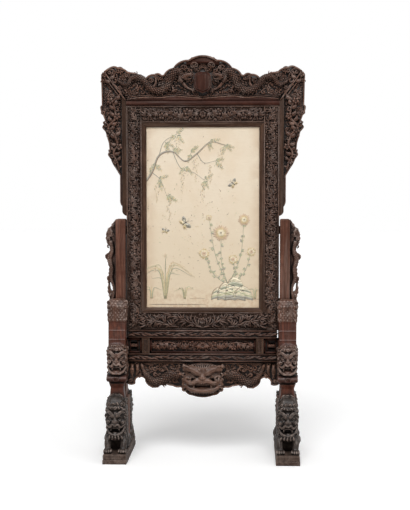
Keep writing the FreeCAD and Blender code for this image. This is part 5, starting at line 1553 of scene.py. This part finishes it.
class FLOORSCREEN_OT_carve_side_dragons(bpy.types.Operator):
    """Carve the openwork dragons that climb the outer faces of the posts"""

    bl_idname = "floorscreen.carve_side_dragons"
    bl_label = "Carve Side Dragons"

    def execute(self, context):
        low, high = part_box("right_side_dragon")
        reach, rise, depth = high.x - low.x, high.z - low.z, (high.y - low.y) / 2
        climber = Carving()

        def at(across, up, out=0.0):
            return np.array((low.x + reach * across, -depth * out, low.z + rise * up))

        climber.core("right_side_dragon", (1, 0.62, 1))
        for face in (-1, 1):
            out = np.array((0.0, -float(face), 0.0))
            body = [at(across, up, face * level) for across, up, level in CLIMBER_SHARES]
            dragon_body(climber, body, mm(5, 9, 9, 8, 10, 11, 11, 10), out=out)
            ahead = math.radians(70 if face > 0 else 110)
            dragon_head(climber, at(0.45, 0.86, face * 0.6), 22 * MM, ahead, 1, out=out)
            for up, across, angle in ((0.42, 0.62, -50), (0.615, 0.72, 20), (0.12, 0.5, -70),
                                      (0.74, 0.62, 10)):
                shoulder, wrist = at(across - 0.3, up + 0.03, face * 0.5), at(across, up, face * 0.5)
                claw(climber, shoulder, wrist, 11 * MM, math.radians(angle), out=out)
            for up, across in ((0.06, 0.35), (0.235, 0.5), (0.52, 0.35), (0.8, 0.7), (0.93, 0.25)):
                curl(climber, at(across, up, face * 0.75), 9 * MM, up * 9, face, out=out)
        back = [at(0, up, shift) for up in np.arange(0.04, 0.97, 0.045) for shift in (-0.45, 0.45)]
        climber.clothe(back, np.array((1.0, 0, 0)), curls(climber, 10 * MM, None, 1, wide=0.3))
        pair(climber, "right_side_dragon_carving", "right_side_dragon", "bracket_wood",
             merge=settings().carving.voxel)
        return {"FINISHED"}


# How many points across and up the silk has.
SILK_MESH = (61, 95)


class FLOORSCREEN_OT_stretch_silk(bpy.types.Operator):
    """Stretch the silk over its board, with the faint unevenness of old cloth"""

    bl_idname = "floorscreen.stretch_silk"
    bl_label = "Stretch Silk"

    def execute(self, context):
        low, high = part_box("silk_panel")
        width, height = high.x - low.x, high.z - low.z
        columns, rows = SILK_MESH
        x, z = np.meshgrid(np.linspace(low.x, high.x, columns), np.linspace(low.z, high.z, rows))
        edge = np.sin(math.pi * (x - low.x) / width) * np.sin(math.pi * (z - low.z) / height)
        ripple = np.sin(x * 31 + 2 * np.sin(z * 9)) + np.sin(z * 23 + x * 11)
        y = low.y + 0.35 * MM * (1 + edge * ripple / 2)
        front = np.stack((x, y, z), axis=-1).reshape(-1, 3)
        rear = front.copy()
        rear[:, 1] = high.y
        quads = [(r * columns + c, r * columns + c + 1, (r + 1) * columns + c + 1, (r + 1) * columns + c)
                 for r in range(rows - 1) for c in range(columns - 1)]
        shift = columns * rows
        back = [tuple(corner + shift for corner in quad[::-1]) for quad in quads]
        border = (list(range(columns)) + [r * columns + columns - 1 for r in range(1, rows)]
                  + [(rows - 1) * columns + c for c in range(columns - 2, -1, -1)]
                  + [r * columns for r in range(rows - 2, 0, -1)])
        sides = [(start, start + shift, end + shift, end)
                 for start, end in zip(border, border[1:] + border[:1])]
        cloth = Carving()
        cloth.add(np.vstack((front, rear)), quads + back + sides)
        made = cloth.piece("silk_cloth", "silk_panel", woven_silk("woven_silk"))
        return {"FINISHED"}


class FLOORSCREEN_OT_embroider_silk(bpy.types.Operator):
    """Embroider the silk with wisteria, chrysanthemums, a rock, grasses and butterflies"""

    bl_idname = "floorscreen.embroider_silk"
    bl_label = "Embroider Silk"

    def execute(self, context):
        looks = settings().silk
        low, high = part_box("silk_panel")
        self.middle = (low.x + high.x) / 2
        self.half = (high.x - low.x) / 2
        self.base, self.rise = low.z, high.z - low.z
        self.face = low.y
        self.work = {name: Carving() for name in ("green", "sage", "ochre", "cream", "blush", "brown", "grey",
                                                  "ink")}
        self.wisteria()
        self.rock()
        self.chrysanthemums()
        self.grasses()
        self.butterflies()
        self.seeds()
        for name, carving in self.work.items():
            made_of = thread(f"{name}_thread", getattr(looks, name))
            carving.piece(f"{name}_stitches", "silk_panel", made_of, stands_in=False)
        return {"FINISHED"}

    def at(self, across, up, layer):
        """A place on the silk, under as many layers of thread."""
        return np.array((self.middle + self.half * across, self.face - layer * 0.3 * MM,
                         self.base + self.rise * up))

    def floss(self, name, knots, wide, steps):
        """A flat run of satin stitch along a smooth line."""
        self.work[name].sweep(knots, wide, settings().silk.rise, sides=6, steps=steps)

    def stitch(self, name, places, wide, layer):
        """A run of satin stitch through places on the silk, its widths in millimetres."""
        self.floss(name, [self.at(*place, layer) for place in places], mm(*wide), 5)

    def leafage(self, spot, angle, size, name, layer=1):
        """One small leaf or petal, its size in millimetres."""
        ahead, beside = heading(angle), heading(angle + math.pi / 2)
        root = self.at(*spot, layer)
        tip = root + ahead * size * MM
        bend = (root + tip) / 2 + beside * size * 0.12 * MM
        self.floss(name, [root, bend, tip], size * mm(0.05, 0.15, 0.2, 0.14, 0.02), 4)

    def flower(self, spot, size, tones=("blush", "ochre", "cream"), start=0.4, count=9):
        """A many-petalled flower in rings, each in its own tone."""
        for ring, tone in enumerate(tones):
            share, number = 1 - 0.27 * ring, count - 2 * ring
            centre = self.at(*spot, 2) + FRONT * 0.35 * ring * MM
            for i in range(number):
                ahead = heading(start + TURN * (i + ring / 2) / number)
                reach = size * share * MM * (1 - 0.12 * ((i * 5) % 3) / 2)
                petal = [centre + ahead * size * 0.08 * MM, centre + ahead * 0.6 * reach,
                         centre + ahead * reach]
                self.floss(tone, petal, reach * 5.4 / number * np.array((0.16, 0.4, 0.5, 0.45, 0.12)), 3)
        self.work["brown"].ball(self.at(*spot, 6), (size * 0.1 * MM, 0.8 * MM, size * 0.1 * MM), rings=5,
                                sides=8)

    def leaf_pairs(self, root, angle, size, random):
        """A feathery leaf: leaflets in pairs along a stalk."""
        ahead = np.array((math.cos(angle) / self.half, math.sin(angle) / self.rise)) * MM
        self.stitch("sage", (root, tuple(np.array(root) + ahead * size)), (0.6, 0.4), layer=1)
        for i in range(1, 7):
            spot = tuple(np.array(root) + ahead * size * i / 6)
            for side in (-1, 1):
                self.leafage(spot, angle + side * random.uniform(0.7, 1.1),
                             size * random.uniform(0.22, 0.34) * (1.2 - i / 9),
                             ("green", "ochre", "sage", "green")[(i + side) % 4])

    def wisteria(self):
        """An old wisteria that hangs from the upper left, with feathery leaves and drooping clusters."""
        random = np.random.default_rng(8)
        trunk = ((-1.02, 0.66), (-0.84, 0.74), (-0.72, 0.83), (-0.5, 0.85), (-0.3, 0.8), (-0.1, 0.84),
                 (0.12, 0.9), (0.36, 0.885))
        self.stitch("grey", trunk, (6, 5, 4.5, 3.6, 3, 2.2, 1.6, 0.8), layer=1)
        self.stitch("brown", [(across + 0.008, up - 0.004) for across, up in trunk],
                    (2.4, 1.8, 1.5, 1.2, 0.8, 0.3), layer=3)
        for twig in (((-0.72, 0.83), (-0.64, 0.9), (-0.44, 0.94)),
                     ((-0.5, 0.85), (-0.36, 0.76), (-0.16, 0.74), (0.02, 0.7)),
                     ((-0.84, 0.74), (-0.7, 0.7), (-0.6, 0.62)), ((-0.1, 0.84), (0.02, 0.79), (0.2, 0.8))):
            self.stitch("grey", twig, (2, 1.4, 0.6), layer=1)
        for across, up in ((-0.62, 0.9), (-0.44, 0.94), (-0.2, 0.84), (0.1, 0.9), (0.36, 0.885), (0.2, 0.8),
                           (-0.3, 0.77), (0.02, 0.7), (-0.6, 0.62), (-0.74, 0.7), (-0.84, 0.78),
                           (-0.5, 0.86)):
            for i in range(3):
                self.leaf_pairs((across, up), random.uniform(-2.4, 0.9), random.uniform(36, 56), random)
        for across, up, drop in ((-0.42, 0.92, 0.1), (-0.12, 0.82, 0.13), (0.3, 0.87, 0.12),
                                 (0.12, 0.78, 0.1), (-0.56, 0.6, 0.12), (-0.34, 0.74, 0.11), (0.0, 0.68, 0.1),
                                 (-0.76, 0.68, 0.1)):
            for i in range(34):
                share = i / 34
                spread = 0.055 * (1 - share) ** 0.7 * (0.5 + min(1, share * 5) / 2)
                spot = (across + random.uniform(-1, 1) * spread, up - drop * share)
                self.leafage(spot, random.uniform(3.4, 6.0), 9 - 4.5 * share,
                             ("cream", "blush", "cream", "ochre", "grey")[i % 5], layer=2)

    def rock(self):
        """A garden rock of rounded swellings, in arched strokes that pale from foot to crown."""
        for middle, wide, tall in ((0.68, 0.15, 0.06), (0.26, 0.12, 0.05), (0.54, 0.17, 0.11),
                                   (0.39, 0.15, 0.08), (0.6, 0.1, 0.045)):
            for i in range(11):
                share = i / 10
                reach, up = wide * math.sqrt(1 - 0.92 * share ** 2), 0.072 + tall * share
                tone = ("grey", "green", "cream", "sage", "cream", "cream")[int(share * 5.2)]
                arch = ((middle - reach, up - 0.006), (middle - 0.1 * wide, up + 0.004),
                        (middle + reach, up - 0.008))
                self.stitch(tone, arch, np.array((0.8, 1, 1, 1, 0.8)) * tall * 62, layer=1 + i % 2)
            top = 0.072 + tall
            edge = ((middle - wide, 0.075), (middle - wide * 0.8, top - tall * 0.3),
                    (middle - wide * 0.2, top + 0.006), (middle + wide * 0.5, top - tall * 0.1))
            self.stitch("brown", edge, (0.4, 1.2, 0.9, 0.3), layer=4)
        for across, up, wide in ((0.26, 0.1, 0.03), (0.5, 0.135, 0.035), (0.66, 0.108, 0.025),
                                 (0.4, 0.11, 0.02)):
            self.stitch("ink", ((across - wide, up), (across, up + 0.006), (across + wide, up)),
                        (0.4, 2.4, 0.4), layer=6)
        for across, up in ((-0.05, 0.07), (0.5, 0.062), (0.88, 0.066)):
            self.stitch("brown", ((across - 0.16, up), (across, up + 0.003), (across + 0.1, up - 0.001)),
                        (0.3, 0.9, 0.3), layer=1)

    def chrysanthemums(self):
        """Chrysanthemums that lean out from behind the rock, on bent stems with cut leaves."""
        blooms = ((0.3, 0.42, 42), (0.68, 0.49, 32), (0.02, 0.31, 28), (0.8, 0.32, 24), (0.5, 0.28, 26),
                  (0.1, 0.5, 16))
        foot = np.array((0.42, 0.14))
        random = np.random.default_rng(6)
        for across, up, size in blooms:
            end = np.array((across, up))
            bend = (foot + end) / 2 + np.array((0.07 if across > 0.4 else -0.05, -0.02))
            stem = (tuple(foot), tuple(bend), (across, up))
            self.stitch("sage", stem, (1.7, 1.3, 0.8), layer=1)
            for i, (x, z, _) in enumerate(spline([(*place, 0) for place in stem], 5)[2:-1]):
                angle = random.uniform(0, TURN)
                for j in range(5):
                    self.leafage((x, z), angle + (j - 2) * 0.42,
                                 random.uniform(12, 20) * (1 - 0.12 * abs(j - 2)),
                                 ("sage", "green", "grey", "green")[(i + j // 2) % 4])
            self.flower((across, up), size,
                        ("blush", "ochre", "cream") if size > 30 else ("ochre", "cream", "blush"),
                        start=across * 9, count=21 if size > 30 else 13)

    def grasses(self):
        """Orchid blades and tufts of grass along the foot."""
        random = np.random.default_rng(9)
        for centre, count, tallest in ((-0.62, 15, 0.26), (-0.3, 7, 0.1), (-0.85, 5, 0.09), (0.86, 6, 0.08)):
            for i in range(count):
                lean = (i - (count - 1) / 2) / count
                tall = tallest * random.uniform(0.55, 1)
                tip = (centre + 1.1 * lean * tallest / 0.26 + random.uniform(-0.03, 0.03),
                       0.075 + tall * (0.9 - abs(lean)))
                blade = ((centre + 0.04 * lean, 0.07),
                         (centre + 0.3 * lean * tallest / 0.26, 0.07 + tall * 0.7), tip)
                self.stitch(("green", "sage", "ochre")[i % 3], blade, (0.8, 1.8, 1.4, 0.3), layer=1 + i % 2)
        for across, up in ((-0.52, 0.25), (-0.78, 0.22), (-0.62, 0.3)):
            for j in range(5):
                self.leafage((across, up), 0.4 + TURN * j / 5, 11, ("cream", "blush")[j % 2], layer=3)

    def butterflies(self):
        """Three butterflies in the open ground."""
        for across, up, size, tilt in ((-0.3, 0.47, 33, 0.6), (0.5, 0.68, 26, 2.4), (-0.62, 0.43, 19, 1.3)):
            centre = self.at(across, up, 2)
            ahead, beside = heading(tilt), heading(tilt + math.pi / 2)
            for side in (-1, 1):
                for lead, reach, tone, wide in ((0.45, 1.0, "grey", 0.36), (-0.5, 0.72, "ochre", 0.3)):
                    tip = centre + (ahead * lead + beside * side * reach) * size * MM
                    self.floss(tone, [centre, (centre + tip) / 2, tip],
                               size * wide * mm(0.2, 0.7, 1, 0.9, 0.3), 3)
                    inner = centre + FRONT * 0.4 * MM
                    spot = inner + (tip - centre) * 0.68
                    self.work["ink"].ball(spot, (size * 0.1 * MM, 0.7 * MM, size * 0.1 * MM), rings=5,
                                          sides=7)
                    self.work["cream"].sweep([inner, inner + (tip - centre) * 0.45], size * mm(0.03, 0.1),
                                             0.6 * MM, sides=6, steps=1)
                feeler = centre + ahead * size * 0.4 * MM
                self.work["ink"].sweep([feeler, feeler + (ahead * 0.4 + beside * side * 0.12) * size * MM,
                                        feeler + (ahead * 0.6 + beside * side * 0.3) * size * MM], 0.35 * MM,
                                       sides=5, steps=3)
            self.work["ink"].sweep([centre - ahead * size * 0.5 * MM, centre,
                                    centre + ahead * size * 0.42 * MM], size * mm(0.02, 0.09, 0.07), 1.2 * MM,
                                   sides=6, steps=3)

    def seeds(self):
        """Small scattered stitches that drift over the ground."""
        random = np.random.default_rng(15)
        for i in range(300):
            across, up = np.clip(random.normal((-0.2, 0.45), (0.45, 0.2)), (-0.9, 0.06), (0.9, 0.93))
            self.leafage((across, up), random.uniform(0, TURN), random.uniform(3, 9),
                         ("cream", "blush", "ochre", "green", "brown")[i % 5])


FLOOR_REACH = 30
# How far the camera sees, in metres, and the width of its frame in millimetres.
FARTHEST = 200
SENSOR_WIDTH = 36
# Each lamp: its name, where its light comes from, its spread in degrees, and the setting of its strength.
LAMPS = (
    ("key", (-0.05, -0.8, 0.85), 35, "key"),
    ("side", (0.6, -0.6, 0.6), 60, "side"),
    ("left_glint", (-0.35, -0.45, 0.9), 7, "glint"),
    ("right_glint", (0.5, -0.5, 0.75), 7, "glint"),
)


class FLOORSCREEN_OT_set_stage(bpy.types.Operator):
    """Lay the floor, hang the lights and stand the camera where the photograph was taken"""

    bl_idname = "floorscreen.set_stage"
    bl_label = "Set Stage"

    def execute(self, context):
        stage = settings().stage
        scene = context.scene
        mesh = bpy.data.meshes.new("studio_floor")
        corners = [(FLOOR_REACH * x, FLOOR_REACH * y, 0) for x, y in ((-1, -1), (1, -1), (1, 1), (-1, 1))]
        mesh.from_pydata(corners, [], [(0, 1, 2, 3)])
        floor = bpy.data.objects.new("studio_floor", mesh)
        mesh.materials.append(studio_floor("studio_floor"))
        scene.collection.objects.link(floor)
        self.world(scene, stage)
        for lamp in LAMPS:
            self.lamp(scene, stage, *lamp)
        camera = bpy.data.cameras.new("camera")
        camera.lens = stage.lens
        camera.sensor_width = SENSOR_WIDTH
        camera.clip_end = FARTHEST
        viewer = bpy.data.objects.new("camera", camera)
        viewer.location = stage.place
        viewer.rotation_euler = (math.pi / 2 - stage.pitch, 0, stage.yaw)
        scene.collection.objects.link(viewer)
        scene.camera = viewer
        scene.view_settings.view_transform = "Standard"
        return {"FINISHED"}

    def world(self, scene, stage):
        """Even light all round, and a white ground behind the object."""
        nodes = Nodes("studio", "worlds")
        light = nodes.add("MapRange", {"Value": nodes.seen(), "To Min": stage.fill, "To Max": 1}).outputs[0]
        background = nodes.add("Background", {"Color": (1, 1, 1, 1), "Strength": light}).outputs[0]
        nodes.add("OutputWorld", {"Surface": background})
        scene.world = nodes.owner

    def lamp(self, scene, stage, name, source, spread, power):
        """A soft, even light that comes from a direction."""
        light = bpy.data.lights.new(name, "SUN")
        light.angle = math.radians(spread)
        light.energy = getattr(stage, power)
        lamp = bpy.data.objects.new(name, light)
        lamp.rotation_euler = (-Vector(source)).to_track_quat("-Z", "Y").to_euler()
        lamp.visible_diffuse = power != "glint"
        scene.collection.objects.link(lamp)


OPERATORS = (
    FLOORSCREEN_OT_set_stage, FLOORSCREEN_OT_finish_joinery, FLOORSCREEN_OT_carve_crest,
    FLOORSCREEN_OT_carve_wings, FLOORSCREEN_OT_carve_frame, FLOORSCREEN_OT_carve_rails,
    FLOORSCREEN_OT_carve_panels, FLOORSCREEN_OT_carve_apron, FLOORSCREEN_OT_carve_lions,
    FLOORSCREEN_OT_carve_brackets, FLOORSCREEN_OT_carve_side_dragons, FLOORSCREEN_OT_stretch_silk,
    FLOORSCREEN_OT_embroider_silk,
)


class FLOORSCREEN_PT_panel(bpy.types.Panel):
    """Lists the steps and the settings in the sidebar"""

    bl_idname = "FLOORSCREEN_PT_panel"
    bl_label = "Carved Floor Screen"
    bl_space_type = "VIEW_3D"
    bl_region_type = "UI"
    bl_category = "Screen"

    def draw(self, context):
        layout = self.layout
        for operator in OPERATORS:
            layout.operator(operator.bl_idname)
        groups = context.scene.floor_screen
        for group in (groups.wood, groups.carving, groups.silk, groups.stage):
            box = layout.box()
            for name in group.__annotations__:
                box.prop(group, name)


CLASSES = (WoodFinish, CarvingSizes, SilkWork, StageSettings, ScreenSettings, *OPERATORS,
           FLOORSCREEN_PT_panel)


def register():
    for item in CLASSES:
        bpy.utils.register_class(item)
    bpy.types.Scene.floor_screen = PointerProperty(type=ScreenSettings)


def unregister():
    del bpy.types.Scene.floor_screen
    for item in reversed(CLASSES):
        bpy.utils.unregister_class(item)


def main():
    """Register the add-on and make every piece in turn."""
    register()
    for operator in OPERATORS:
        group, name = operator.bl_idname.split(".")
        getattr(getattr(bpy.ops, group), name)()


if __name__ == "__main__":
    main()
